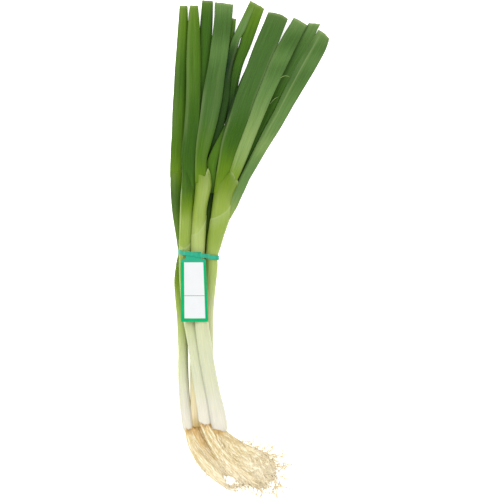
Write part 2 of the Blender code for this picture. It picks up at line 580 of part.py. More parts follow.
def build_bunch():
    clear_scene()
    parts = new_collection("spring_onion_bunch")
    cutters = new_collection("cutters")
    pieces = lay_bunch()
    rooms = {}
    for key in SHANKS:
        rooms[key] = build_shank(pieces["shank_" + key], parts, cutters)
    for key in LEAVES:
        build_leaf(pieces["leaf_" + key], rooms[key[0]], parts)
    root_material = new_material("dry_roots", (0.78, 0.66, 0.42), 0.7)
    for key in TUFTS:
        build_roots(key, pieces["shank_" + key], parts, root_material)
    tag = lay_tag(pieces)
    build_tag(tag, parts)
    build_band(pieces, tag, parts)


build_bunch()
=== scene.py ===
import bpy
import numpy as np
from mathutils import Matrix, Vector


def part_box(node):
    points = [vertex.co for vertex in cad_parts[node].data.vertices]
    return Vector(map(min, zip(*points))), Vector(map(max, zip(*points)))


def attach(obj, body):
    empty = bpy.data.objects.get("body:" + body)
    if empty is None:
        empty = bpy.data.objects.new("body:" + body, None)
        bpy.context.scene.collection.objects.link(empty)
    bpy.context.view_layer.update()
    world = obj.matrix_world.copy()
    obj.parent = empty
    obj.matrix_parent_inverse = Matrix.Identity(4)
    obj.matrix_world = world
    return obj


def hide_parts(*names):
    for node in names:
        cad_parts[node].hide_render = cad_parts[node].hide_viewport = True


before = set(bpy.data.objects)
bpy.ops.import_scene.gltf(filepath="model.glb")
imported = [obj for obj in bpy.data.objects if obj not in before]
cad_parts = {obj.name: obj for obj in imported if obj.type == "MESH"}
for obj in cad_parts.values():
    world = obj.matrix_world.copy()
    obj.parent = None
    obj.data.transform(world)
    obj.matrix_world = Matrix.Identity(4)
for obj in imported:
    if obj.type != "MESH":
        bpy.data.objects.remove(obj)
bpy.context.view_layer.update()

# The white table and the view from above
# The bunch lies on a plain white sheet of a light table, seen straight down with the roots lowest.
# A pale room and three wide soft lamps light it from above, the strongest from the upper left.
MM = 0.001
VIEW_MIDDLE = (57.0, 5.0)
VIEW_HEIGHT = 3010.0
SHEET_HALF = 4.0
SHEET_UNDER = 0.0003
WHITE = (1.0, 1.0, 1.0, 1.0)
scene = bpy.context.scene
scene.view_settings.view_transform = "Standard"


def show(name, data):
    """Puts an object that holds the data at the origin, unturned, and gives it back."""
    made = bpy.data.objects.new(name, data)
    scene.collection.objects.link(made)
    return made


def colour(red, green, blue, level=0.6):
    """A screen colour of 0 to 255 as light that a surface gives back: the sRGB curve undone, then scaled.

    The level makes up for lamps that are bright enough to turn the white sheet behind quite white."""
    value = np.array([red, green, blue]) / 255
    linear = np.where(value <= 0.04045, value / 12.92, ((value + 0.055) / 1.055) ** 2.4)
    return (*(linear * level).tolist(), 1.0)


def node(tree, kind, inputs=(), **settings):
    """Adds a node. Each of the inputs, by socket number or name, is linked if it is a socket, else set."""
    made = tree.nodes.new(kind)
    for key, value in settings.items():
        setattr(made, key, value)
    for key, value in dict(inputs).items():
        if isinstance(value, bpy.types.NodeSocket):
            tree.links.new(value, made.inputs[key])
        else:
            made.inputs[key].default_value = value
    return made


def finish(name, **sockets):
    """A new material with the named sockets set. Gives it back with its node tree and its shader."""
    made = bpy.data.materials.new(name)
    made.use_nodes = True
    shader = made.node_tree.nodes["Principled BSDF"]
    for key, value in sockets.items():
        shader.inputs[key.replace("_", " ")].default_value = value
    return made, made.node_tree, shader


camera = bpy.data.cameras.new("camera_above")
camera.sensor_width = 36.0
camera.lens = 216.0
camera_above = show("camera_above", camera)
camera_above.location = (VIEW_MIDDLE[0] * MM, VIEW_MIDDLE[1] * MM, VIEW_HEIGHT * MM)
scene.camera = camera_above

sheet_mesh = bpy.data.meshes.new("white_sheet")
sheet_x, sheet_y = SHEET_HALF * np.array([(-1, 1, 1, -1), (-1, -1, 1, 1)])
sheet_corners = np.stack([sheet_x, sheet_y, np.full(4, -SHEET_UNDER)], axis=1)
sheet_mesh.from_pydata(sheet_corners.tolist(), [], [(0, 1, 2, 3)])
white = finish(
    "white_sheet", Base_Color=(0.93, 0.93, 0.93, 1.0), Roughness=0.9, Specular_IOR_Level=0.1,
    Emission_Color=WHITE, Emission_Strength=0.8,
)[0]
sheet_mesh.materials.append(white)
white_sheet = show("white_sheet", sheet_mesh)

sky = bpy.data.worlds.new("soft_room")
sky.use_nodes = True
room_light = sky.node_tree.nodes["Background"]
room_light.inputs["Color"].default_value = WHITE
room_light.inputs["Strength"].default_value = 0.58
scene.world = sky

LAMPS = {
    # place in metres, power in watts
    "lamp_left": ((-0.85, 0.75, 1.25), 24.0),
    "lamp_right": ((1.15, 0.15, 1.2), 16.0),
    "lamp_front": ((-0.1, -1.15, 1.2), 15.0),
}
LAMP_WIDE = 1.5
for name, (place, power) in LAMPS.items():
    lamp = bpy.data.lights.new(name, "AREA")
    lamp.shape = "DISK"
    lamp.size = LAMP_WIDE
    lamp.energy = power
    soft_lamp = show(name, lamp)
    soft_lamp.location = place
    aim = Vector((VIEW_MIDDLE[0] * MM, VIEW_MIDDLE[1] * MM, 0.0)) - Vector(place)
    soft_lamp.rotation_euler = aim.to_track_quat("-Z", "Y").to_euler()

# Stems
# Five stems, each a roll of wet white leaf sheaths, swollen at the root end and green towards the top.
# The outer sheath ends in a slanting collar, and the mouth of the roll lets the leaves out.
STEM_SIDES = 72
STEM_STEP = 0.8
STEM_BEYOND = 14.0
RIM = 0.3
MOUTH_MERGE = 20.0
MOUTH_DEPTH = 24.0
MOUTH_ROOM = (-0.7, 0.7, -0.35, 0.35)
RIM_TURN = 5
GRAIN_WIDE = 6.0
TABLE = 0.02
# The last two colours of the third row, the darkest greens, are painted shade: they go only on onion b and
# leaf d1, which lie under the others.
PALETTE = {
    "cream": (247, 241, 228), "ivory": (240, 237, 219), "pale": (228, 231, 198), "straw": (216, 221, 172),
    "lime": (186, 204, 120), "young": (158, 181, 84), "fresh": (124, 154, 48), "grass": (101, 134, 33),
    "leaf": (80, 117, 27), "deep": (63, 99, 26), "painted_shade": (50, 77, 24), "shade": (35, 56, 18),
    "blue": (75, 109, 53), "bloom": (103, 137, 76), "mist": (138, 165, 98), "tan": (225, 192, 128),
    # A cream lighter than white, painted light for the foot of stem b, which lies in shade between stems a
    # and c.
    "warm": (262, 247, 204),
}
GLOSS_LIGHT = 0.009
STREAK_FADE = 24.0

STEMS = {
    # mouth: the leaves that the mouth fits round. rim, collar: (degrees round from the right, y)
    # trim: (y, left and right edge moved by). stops: (y, colour). glow: the degrees round where a highlight
    # is painted along the rim
    # streaks: (middle across, half width, from y, to y, strength); below 0 darker, mostly painted shade
    # beside neighbours and in creases, above 0 pale lines, partly painted highlights
    "a": dict(
        mouth=["a1"], rim=[(0, 88), (60, 84), (120, 82), (180, 86), (270, 94)], collar=[],
        trim=[(-178, -0.2, 0.8), (-160, -0.5, 1.2), (-146, -0.6, 0.5), (-118, -0.5, 0.2),
              (-100, 0.0, 0.0), (-75, -0.4, 0.0), (-50, -0.6, 0.0), (-25, -1.2, 0.0), (-5, -1.0, 0.0),
              (15, -0.2, 0.3), (50, -0.5, 1.5), (70, -1.1, 1.5), (85, -0.9, 1.2), (100, -1.0, 1.2)],
        stops=[(-178, "ivory"), (-172, "cream"), (-145, "ivory"), (-122, "pale"), (-98, "straw"),
               (-70, "lime"), (-42, "young"), (-26, "fresh"), (-15, "grass"), (22, "grass"),
               (40, "leaf"), (56, "deep"), (70, "leaf"), (82, "grass"), (95, "grass")],
        # Darker towards both flanks of the bulb; painted shade, greener, down the right side beside stems b
        # and c, and a painted highlight down the upper left.
        streaks_and_painted_shade=[(0.95, 0.3, -180, -95, -0.1), (-0.95, 0.25, -180, -110, -0.07),
                 (0.85, 0.25, -125, -40, -0.25), (0.85, 0.3, -40, 95, -0.4),
                 (-0.5, 0.3, -20, 95, 0.15)],
    ),
    "b": dict(
        mouth=["b1", "b2", "b3"], rim=[(0, 70), (120, 66), (180, 69), (270, 71)], collar=[],
        trim=[(-180, -2.8, 1.0), (-160, -2.6, 0.6), (-148, -0.9, 0.0), (-120, -0.4, 0.0),
              (-95, -0.3, 0.0)],
        # Painted light low down, where the stem lies in shade between a and c, and painted shade on its
        # green top, hidden under the others.
        stops=[(-178, "tan"), (-171, "tan"), (-161, "warm"), (-140, "warm"), (-115, "straw"),
               (-85, "lime"), (-40, "young"), (0, "fresh"), (25, "leaf"), (50, "painted_shade"), (75, "shade")],
        streaks_and_painted_shade=[(0.0, 0.6, -176, -165, -0.2)],
    ),
    "e": dict(
        mouth=["e3", "e4"],
        rim=[(0, 71), (50, 76), (72, 82), (84, 84), (96, 80), (125, 70), (180, 66), (270, 78)],
        trim=[(8, 0.0, 0.5), (20, 0.0, 0.3), (34, 0.0, 1.0), (44, 0.0, 1.1), (54, 0.0, 0.0)],
        collar=[(-30, 54), (0, 51.5), (30, 49), (60, 43.5), (90, 39.5), (125, 37), (180, 36),
                (250, 40)],
        stops=[(-171, "cream"), (-120, "ivory"), (-90, "pale"), (-72, "straw"), (-52, "straw"),
               (-32, "lime"), (-10, "lime"), (10, "young"), (24, "young"), (38, "young"), (52, "young"),
               (68, "fresh"), (84, "grass")],
        streaks_and_painted_shade=[(-0.75, 0.3, -75, 30, -0.25), (0.8, 0.25, 5, 60, 0.1), (-0.9, 0.25, 40, 90, -0.3)],
        glow=(15, 82),
    ),
    "c": dict(
        mouth=["c1", "c2"],
        rim=[(0, 80), (30, 83), (50, 78), (62, 68), (76, 73), (93, 80), (115, 84), (135, 88), (160, 92),
             (180, 94), (270, 84)],
        trim=[(-175, 0.0, 1.0), (-160, 0.0, 2.6), (-140, 0.0, 3.4), (-118, -0.3, 3.6), (-96, -0.5, 3.4),
              (-60, 0.0, 2.6), (-30, 0.0, 1.3), (-10, 0.0, 1.0), (30, 0.0, 1.1), (60, 0.0, 1.0),
              (80, 0.0, 0.6)],
        collar=[(0, 15), (50, 9.5), (95, 6.5), (140, 9), (180, 15), (270, 18)],
        stops=[(-173, "ivory"), (-168, "cream"), (-145, "ivory"), (-122, "pale"), (-88, "pale"),
               (-40, "lime"), (8, "young"), (22, "young"), (34, "young"), (44, "fresh"), (54, "grass"),
               (64, "leaf"), (78, "deep"), (95, "deep")],
        # Darker towards both flanks of the bulb; a thin painted highlight down the left edge, and painted
        # shade down the right side beside stem d and in a crease at the rim.
        streaks_and_painted_shade=[(0.95, 0.3, -180, -95, -0.08), (-0.95, 0.25, -180, -100, -0.08),
                 (-0.93, 0.12, 26, 88, 0.9), (0.85, 0.25, 0, 80, -0.25), (0.35, 0.3, 62, 78, -0.45)],
    ),
    "d": dict(
        mouth=["d2"],
        rim=[(0, 80), (22, 84), (40, 87), (58, 83), (75, 78), (104, 80), (125, 80), (150, 76),
             (180, 74), (270, 84)],
        trim=[(-170, -0.6, 1.0), (-160, -1.1, 0.7), (-110, -1.3, 0.3), (-80, -1.5, 0.3),
              (-60, -1.3, 0.0), (20, -0.9, 0.0), (45, -0.4, 0.0), (55, -0.2, 0.6), (70, -0.2, 2.2),
              (90, -0.2, 2.6)],
        collar=[(0, 40), (25, 34), (60, 27), (90, 22), (130, 20), (180, 21), (270, 30)],
        stops=[(-179, "ivory"), (-173, "cream"), (-150, "ivory"), (-122, "pale"), (-82, "pale"),
               (-60, "straw"), (5, "lime"), (22, "lime"), (36, "young"), (54, "young"), (68, "young"),
               (80, "fresh"), (88, "fresh")],
        streaks_and_painted_shade=[(0.95, 0.25, -180, -60, -0.08), (-0.95, 0.25, -180, -60, -0.08),
                 (0.3, 0.5, 40, 92, 0.4), (-0.9, 0.3, 45, 95, -0.45), (0.97, 0.12, 10, 75, -0.3)],
        glow=(-5, 66),
    ),
}


def node_points(name):
    """A CAD node's points, in millimetres."""
    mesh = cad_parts[name].data
    points = np.empty(len(mesh.vertices) * 3)
    mesh.vertices.foreach_get("co", points)
    return points.reshape(-1, 3) / MM


def slices(name, y):
    """Cuts a node's triangles with planes across the bunch: each plane's left, right, low and high limit.

    A plane meets an edge at its start plus the same part of its length as of its rise."""
    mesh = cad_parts[name].data
    corners = np.empty(len(mesh.loops), np.int32)
    mesh.loops.foreach_get("vertex_index", corners)
    start = node_points(name)[corners]
    end = np.roll(start.reshape(-1, 3, 3), -1, axis=1).reshape(-1, 3)
    rise = end[:, 1] - start[:, 1]
    steep = np.abs(rise) > 1e-6
    start, end, rise = start[steep], end[steep], rise[steep]
    part = (np.asarray(y)[:, None] - start[:, 1]) / rise
    missed = (part < 0) | (part > 1)
    limits = []
    for axis in (0, 2):
        place = np.where(missed, np.nan, start[:, axis] + part * (end[:, axis] - start[:, axis]))
        limits += [np.nanmin(place, axis=1), np.nanmax(place, axis=1)]
    return np.array(limits)


def reach(name):
    """A node's lowest and highest y, in millimetres."""
    low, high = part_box(name)
    return low[1] / MM, high[1] / MM


def smooth(values, width):
    """Running mean with bell-shaped weights that are width samples wide, each end carried on straight."""
    arm = int(3 * width) + 1
    weights = np.exp(-0.5 * (np.arange(-arm, arm + 1) / width) ** 2)
    weights /= weights.sum()
    longer = [np.pad(row, arm, mode="reflect", reflect_type="odd") for row in np.atleast_2d(values)]
    return np.array([np.convolve(row, weights, mode="valid") for row in longer])


def ease(value):
    """0 below 0, 1 above 1, and an S curve between, 3t squared less 2t cubed."""
    t = np.clip(value, 0.0, 1.0)
    return t * t * (3 - 2 * t)


def bell(value, width):
    """A bell curve: e to the minus square of the value over its width."""
    return np.exp(-((value / width) ** 2))


def window(y, start, end, edge):
    """1 between start and end, fading out over the edge length at both."""
    return ease((y - start) / edge + 0.5) * ease((end - y) / edge + 0.5)


def around(pairs, turn):
    """A height that goes round a stem through (degrees, y) pairs, closed and rounded off at each."""
    fine = np.arange(0, 360, 2.0)
    degrees, heights = np.array(pairs, float).T
    order = np.argsort(degrees % 360)
    line = np.interp(fine, (degrees % 360)[order], heights[order], period=360)
    soft = np.exp(-0.5 * (np.arange(-12, 13) / 2.2) ** 2)
    line = np.convolve(np.concatenate([line[-12:], line, line[:12]]), soft / soft.sum(), mode="valid")
    return np.interp(np.degrees(turn) % 360, fine, line, period=360)


def over_rim(outer_y, rim_y, wall, inner_y, inner_in):
    """Carries rows over a rim: up the outside, over half a circle as wide as the wall, down the inside.

    Gives every row's y, and how far in from the outside it lies."""
    fold = np.linspace(0.0, np.pi, RIM_TURN)[1:, None]
    fold_y = rim_y + wall / 2 * np.sin(fold)
    fold_in = np.broadcast_to(wall / 2 * (1 - np.cos(fold)), fold_y.shape)
    y = np.concatenate([outer_y, fold_y, inner_y])
    return y, np.concatenate([np.zeros_like(outer_y), fold_in, np.broadcast_to(inner_in, inner_y.shape)])


def way_round(sides):
    """The angle of each side of a skin, from the underside on, so that none lies right below."""
    return 2 * np.pi * (np.arange(sides) + 0.5) / sides - np.pi / 2


def grain_at(turn, y, wide, phase):
    """Where the grain is read: the cosine and sine of the way round times the width, and y between them."""
    grain = np.stack([GRAIN_WIDE * np.cos(turn) + 0 * y, y, GRAIN_WIDE * np.sin(turn) + 0 * y], axis=-1)
    return grain * np.array([wide, 1.0, wide]) + np.array([phase * 3, phase * 40, 0.0])


def store(mesh, name, values):
    """Keeps an attribute in a mesh, one number or one vector to each point."""
    kind, entry = ("FLOAT_VECTOR", "vector") if values.ndim == 2 else ("FLOAT", "value")
    layer = mesh.attributes.new(name, kind, "POINT")
    layer.data.foreach_set(entry, values.astype(np.float32).ravel())


def skin(name, rings, attributes):
    """A closed mesh over rings of points (rows, sides, xyz) in mm: quads between rings, a fan at each end.

    The attributes are arrays of the same rows and sides; each end's middle point takes its ring's mean."""
    rows, sides = rings.shape[:2]
    poles = np.array([rings[0].mean(axis=0), rings[-1].mean(axis=0)])
    points = np.concatenate([rings.reshape(-1, 3), poles]) * MM
    grid = np.arange(rows * sides).reshape(rows, sides)
    after = np.roll(grid, -1, axis=1)
    quads = np.stack([grid[:-1], grid[1:], after[1:], after[:-1]], axis=-1).reshape(-1, 4)
    first, last = rows * sides, rows * sides + 1
    fans = [np.stack([np.full(sides, first), grid[0], after[0]], axis=-1)]
    fans.append(np.stack([np.full(sides, last), after[-1], grid[-1]], axis=-1))
    mesh = bpy.data.meshes.new(name)
    mesh.from_pydata(points.tolist(), [], quads.tolist() + np.concatenate(fans).tolist())
    for key, values in attributes.items():
        flat = values.reshape(rows * sides, *values.shape[2:])
        ends = np.array([values[0].mean(axis=0), values[-1].mean(axis=0)])
        store(mesh, key, np.concatenate([flat, ends]))
    mesh.shade_smooth()
    return show(name, mesh)


def sum_streaks_and_painted_shade(streaks_and_painted_shade, across, y):
    """Sums the streaks: each is a bell across (middle, width) between two heights, times its strength;
    below 0 the sum is mostly painted shade.
    """
    total = np.zeros(np.broadcast(across, y).shape)
    for middle, width, start, end, strength in streaks_and_painted_shade:
        total = total + strength * bell(across - middle, width) * window(y, start, end, STREAK_FADE)
    return total


def skin_colour(shade):
    """A palette colour scaled to the lamps, less the even light that the skin's gloss adds to it."""
    own = np.array(colour(*PALETTE[shade])[:3])
    return (*np.clip(own - GLOSS_LIGHT, 0.001, 1.0).tolist(), 1.0)


def ramp(tree, stops, lowest, highest):
    """A colour that changes along the bunch: the object's y scaled to 0..1, read off the stops."""
    place = node(tree, "ShaderNodeTexCoord").outputs["Object"]
    along = node(tree, "ShaderNodeSeparateXYZ", {0: place}).outputs["Y"]
    scaled = node(tree, "ShaderNodeMapRange", {0: along, 1: lowest * MM, 2: highest * MM}).outputs[0]
    made = node(tree, "ShaderNodeValToRGB", {0: scaled})
    made.color_ramp.interpolation = "B_SPLINE"
    entries = made.color_ramp.elements
    while len(entries) < len(stops):
        entries.new(0.5)
    for entry, (y, shade) in zip(entries, stops):
        entry.position = (y - lowest) / (highest - lowest)
        entry.color = skin_colour(shade)
    return made.outputs["Color"]


def mix(tree, blend, amount, first, second):
    """Mixes two colours by a blend and an amount, any of which may be a socket."""
    made = node(tree, "ShaderNodeMix", {0: amount, 6: first, 7: second}, data_type="RGBA", blend_type=blend)
    return made.outputs[2]


def spread(tree, value, low, high, new_low=0.0, new_high=1.0):
    """Maps a value from low..high to new_low..new_high, held at the ends."""
    made = node(tree, "ShaderNodeMapRange", {0: value, 1: low, 2: high, 3: new_low, 4: new_high})
    return made.outputs[0]


def speckle(tree, vector, scale, detail=3.0):
    """Noise on a vector with each part scaled on its own, as a value about 0.5."""
    scaled = node(tree, "ShaderNodeMapping", {"Vector": vector, "Scale": scale}).outputs[0]
    return node(tree, "ShaderNodeTexNoise", {"Vector": scaled, "Scale": 1.0, "Detail": detail}).outputs[0]


def stored(tree, name, output="Fac"):
    """Reads an attribute that is kept in the piece's own mesh."""
    return node(tree, "ShaderNodeAttribute", attribute_name=name).outputs[output]


def maths(tree, operation, *values):
    """One sum on values, any of which may be a socket."""
    return node(tree, "ShaderNodeMath", dict(enumerate(values)), operation=operation).outputs[0]


def relief(tree, shader, height, strength, distance):
    """Bump over the whole surface from a height of 0 to 1, with the distance in millimetres."""
    bump = node(tree, "ShaderNodeBump", {"Strength": strength, "Distance": distance * MM, "Height": height})
    tree.links.new(bump.outputs[0], shader.inputs["Normal"])


def plant_skin(name, stops, veins, softness, gloss):
    """Waxy plant skin: the ramp along y, times fine and broad lengthwise grain, plus streaks and pale rims.

    Warm clouds and a dull bloom in dots lie over it, and the grain also raises the surface. Streaks below
    0 are darker, mostly painted shade, and streaks above 0 are pale lines, partly painted highlights; the
    pale rim colour marks cut ends and collars and, on the stems' lips, a painted highlight."""
    made, tree, shader = finish(
        name, Specular_IOR_Level=0.09, Subsurface_Weight=softness, Subsurface_Scale=0.003,
        Subsurface_Radius=(1.0, 1.0, 0.45),
    )
    grain = stored(tree, "grain", "Vector")
    streak_and_painted_shade = stored(tree, "streak_and_painted_shade")
    light = stored(tree, "light")
    lines = speckle(tree, grain, (1.5, 0.035, 1.5))
    hairlines = speckle(tree, grain, (4.2, 0.06, 4.2), 2.0)
    clouds = speckle(tree, grain, (0.35, 0.045, 0.35))
    dots = speckle(tree, grain, (2.4, 0.9, 2.4), 2.0)
    base = ramp(tree, stops, stops[0][0], stops[-1][0])
    shade = spread(tree, lines, 0.3, 0.7, 1.0 - veins, 1.0 + veins)
    base = mix(tree, "MULTIPLY", 1.0, base, shade)
    fine = spread(tree, hairlines, 0.35, 0.65, 1.0 - 0.5 * veins, 1.0 + 0.5 * veins)
    base = mix(tree, "MULTIPLY", 1.0, base, fine)
    cloud = spread(tree, clouds, 0.35, 0.7, 0.0, 0.3 * min(1.0, 5 * veins))
    warm = mix(tree, "MULTIPLY", 1.0, base, (1.18, 1.12, 0.72, 1.0))
    base = mix(tree, "MIX", cloud, base, warm)
    dusty = spread(tree, dots, 0.45, 0.75, 0.0, 0.8 * veins)
    base = mix(tree, "MIX", dusty, base, colour(104, 138, 84))
    # Painted shade: below 0 the streaks darken the skin towards a deeper green.
    painted_shade = mix(tree, "MULTIPLY", 1.0, base, (0.42, 0.55, 0.25, 1.0))
    base = mix(tree, "MIX", spread(tree, streak_and_painted_shade, 0.0, -1.0), base, painted_shade)
    # Above 0 the streaks pale the skin: pale lines, partly painted highlights.
    pale = mix(tree, "MIX", 0.45, base, colour(206, 216, 160))
    base = mix(tree, "MIX", spread(tree, streak_and_painted_shade, 0.0, 1.0), base, pale)
    # Pale rims and cut ends; over the glow angles on the stems' lips this is a painted highlight.
    rim = mix(tree, "MIX", 0.5, base, colour(190, 206, 140))
    base = mix(tree, "MIX", light, base, rim)
    tree.links.new(base, shader.inputs["Base Color"])
    tree.links.new(spread(tree, clouds, 0.3, 0.7, gloss - 0.06, gloss + 0.08), shader.inputs["Roughness"])
    relief(tree, shader, maths(tree, "ADD", lines, hairlines), 0.6, 0.22)
    return made


class Form:
    """A stem or leaf by its middle line (x, z) and its half sizes (across, through), at even steps of y."""

    def __init__(self, y, limits):
        left, right, low, high = limits
        self.y = y
        self.x, self.w = (left + right) / 2, (right - left) / 2
        self.z, self.d = (low + high) / 2, (high - low) / 2

    def at(self, y):
        """x, z and the half sizes at each y."""
        return [np.interp(y, self.y, values) for values in (self.x, self.z, self.w, self.d)]


FORM_STEP = 0.5
STEM_FACET = np.cos(np.pi / 12)
stem_forms = {}
for key, stem in STEMS.items():
    low, high = reach("shank_" + key)
    y = np.arange(low, high + STEM_BEYOND, FORM_STEP)
    limits = slices("shank_" + key, np.clip(y, low + 0.05, high - 6.0))
    middle = (limits[::2] + limits[1::2]) / 2
    half = (limits[1::2] - limits[::2]) / 2 / STEM_FACET
    limits = np.stack([middle[0] - half[0], middle[0] + half[0], middle[1] - half[1], middle[1] + half[1]])
    leaves = np.array([slices("leaf_" + leaf, np.clip(y, high + 1.0, None)) for leaf in stem["mouth"]])
    mouth = np.stack([leaves[:, 0].min(0), leaves[:, 1].max(0), leaves[:, 2].min(0), leaves[:, 3].max(0)])
    mouth += np.array(MOUTH_ROOM)[:, None]
    part = ease((y - (high - MOUTH_MERGE)) / (MOUTH_MERGE + 1.0))
    limits = limits * (1 - part) + mouth * part
    limits[2] = np.maximum(limits[2], 0.0)
    near = ease((y - low - 5.0) / 14.0)
    limits = smooth(limits, 2.4) * (1 - near) + smooth(limits, 11.0) * near
    trim_y, trim_left, trim_right = np.array(stem["trim"]).T
    limits[0] += np.interp(y, trim_y, trim_left)
    limits[1] += np.interp(y, trim_y, trim_right)
    stem_forms[key] = Form(y, limits)

BAND_LINE = (0.8, -0.145)
PINCH = {"a": 0.9, "e": -0.9}
for key, stem in STEMS.items():
    form = stem_forms[key]
    low = form.y[0]
    phase = ord(key) * 1.7
    turn = way_round(STEM_SIDES)
    rim_y = around(stem["rim"], turn)
    tall = rim_y.mean() - low
    share = np.linspace(0.0, 1.0, int(tall / STEM_STEP))[:, None]
    lean = ease((share - 0.82) / 0.18)
    outer_y = low + share * tall + lean * (rim_y - rim_y.mean())
    back = np.linspace(0.0, 1.0, 14)[1:, None]
    y, inset = over_rim(outer_y, rim_y, RIM, rim_y - back * MOUTH_DEPTH, RIM + back * 0.4)
    x, z, w, d = form.at(y)
    held = bell(y - BAND_LINE[0] - BAND_LINE[1] * x, 6.0)
    x = x + PINCH.get(key, 0.0) * held
    w = w - 0.25 * held
    ribs = 0.035 * np.cos(13 * turn + 0.8 * np.sin(y / 41 + phase))
    ribs = ribs + 0.03 * np.cos(18 * turn + y / 70 + phase)
    dents = 0.09 * np.sin(3 * turn + y / 23 + phase) * np.sin(y / 31 + phase)
    swell = 1 + 0.012 * np.sin(y / 19 + phase)
    step = np.zeros_like(y)
    light = np.zeros_like(y)
    if stem["collar"]:
        past = y - around(stem["collar"], turn)
        step = 0.34 * (1 - ease(past / 1.1 + 0.5)) * ease((past + 55.0) / 50.0)
        light = 0.9 * bell(past + 0.5, 0.7) + 0.5 * ease((past + 15.0) / 13.0) * (past < 0)
    # Painted highlight: a pale band along the rim of the mouth over the glow angles.
    if "glow" in stem:
        degrees = (np.degrees(turn) + 180) % 360 - 180
        shown = window(degrees, *stem["glow"], 14.0)
        light = light + shown * (0.8 * bell(rim_y - y, 2.6) + 0.25 * bell(rim_y - y, 9.0))
    grow = ribs + dents + step - inset
    rings = np.stack([x + (w * swell + grow) * np.cos(turn), y, z + (d + grow) * np.sin(turn)], axis=-1)
    rings[..., 2] = np.maximum(rings[..., 2], TABLE)
    grain = grain_at(turn, y, 1.0, phase)
    streak_and_painted_shade = sum_streaks_and_painted_shade(stem["streaks_and_painted_shade"], np.cos(turn) + 0 * y, y)
    piece = skin("stem_" + key, rings, {"grain": grain, "streak_and_painted_shade": streak_and_painted_shade, "light": light})
    waxy = plant_skin("stem_skin_" + key, stem["stops"], veins=0.06, softness=0.5, gloss=0.36)
    piece.data.materials.append(waxy)
    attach(piece, "root")
    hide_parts("shank_" + key)

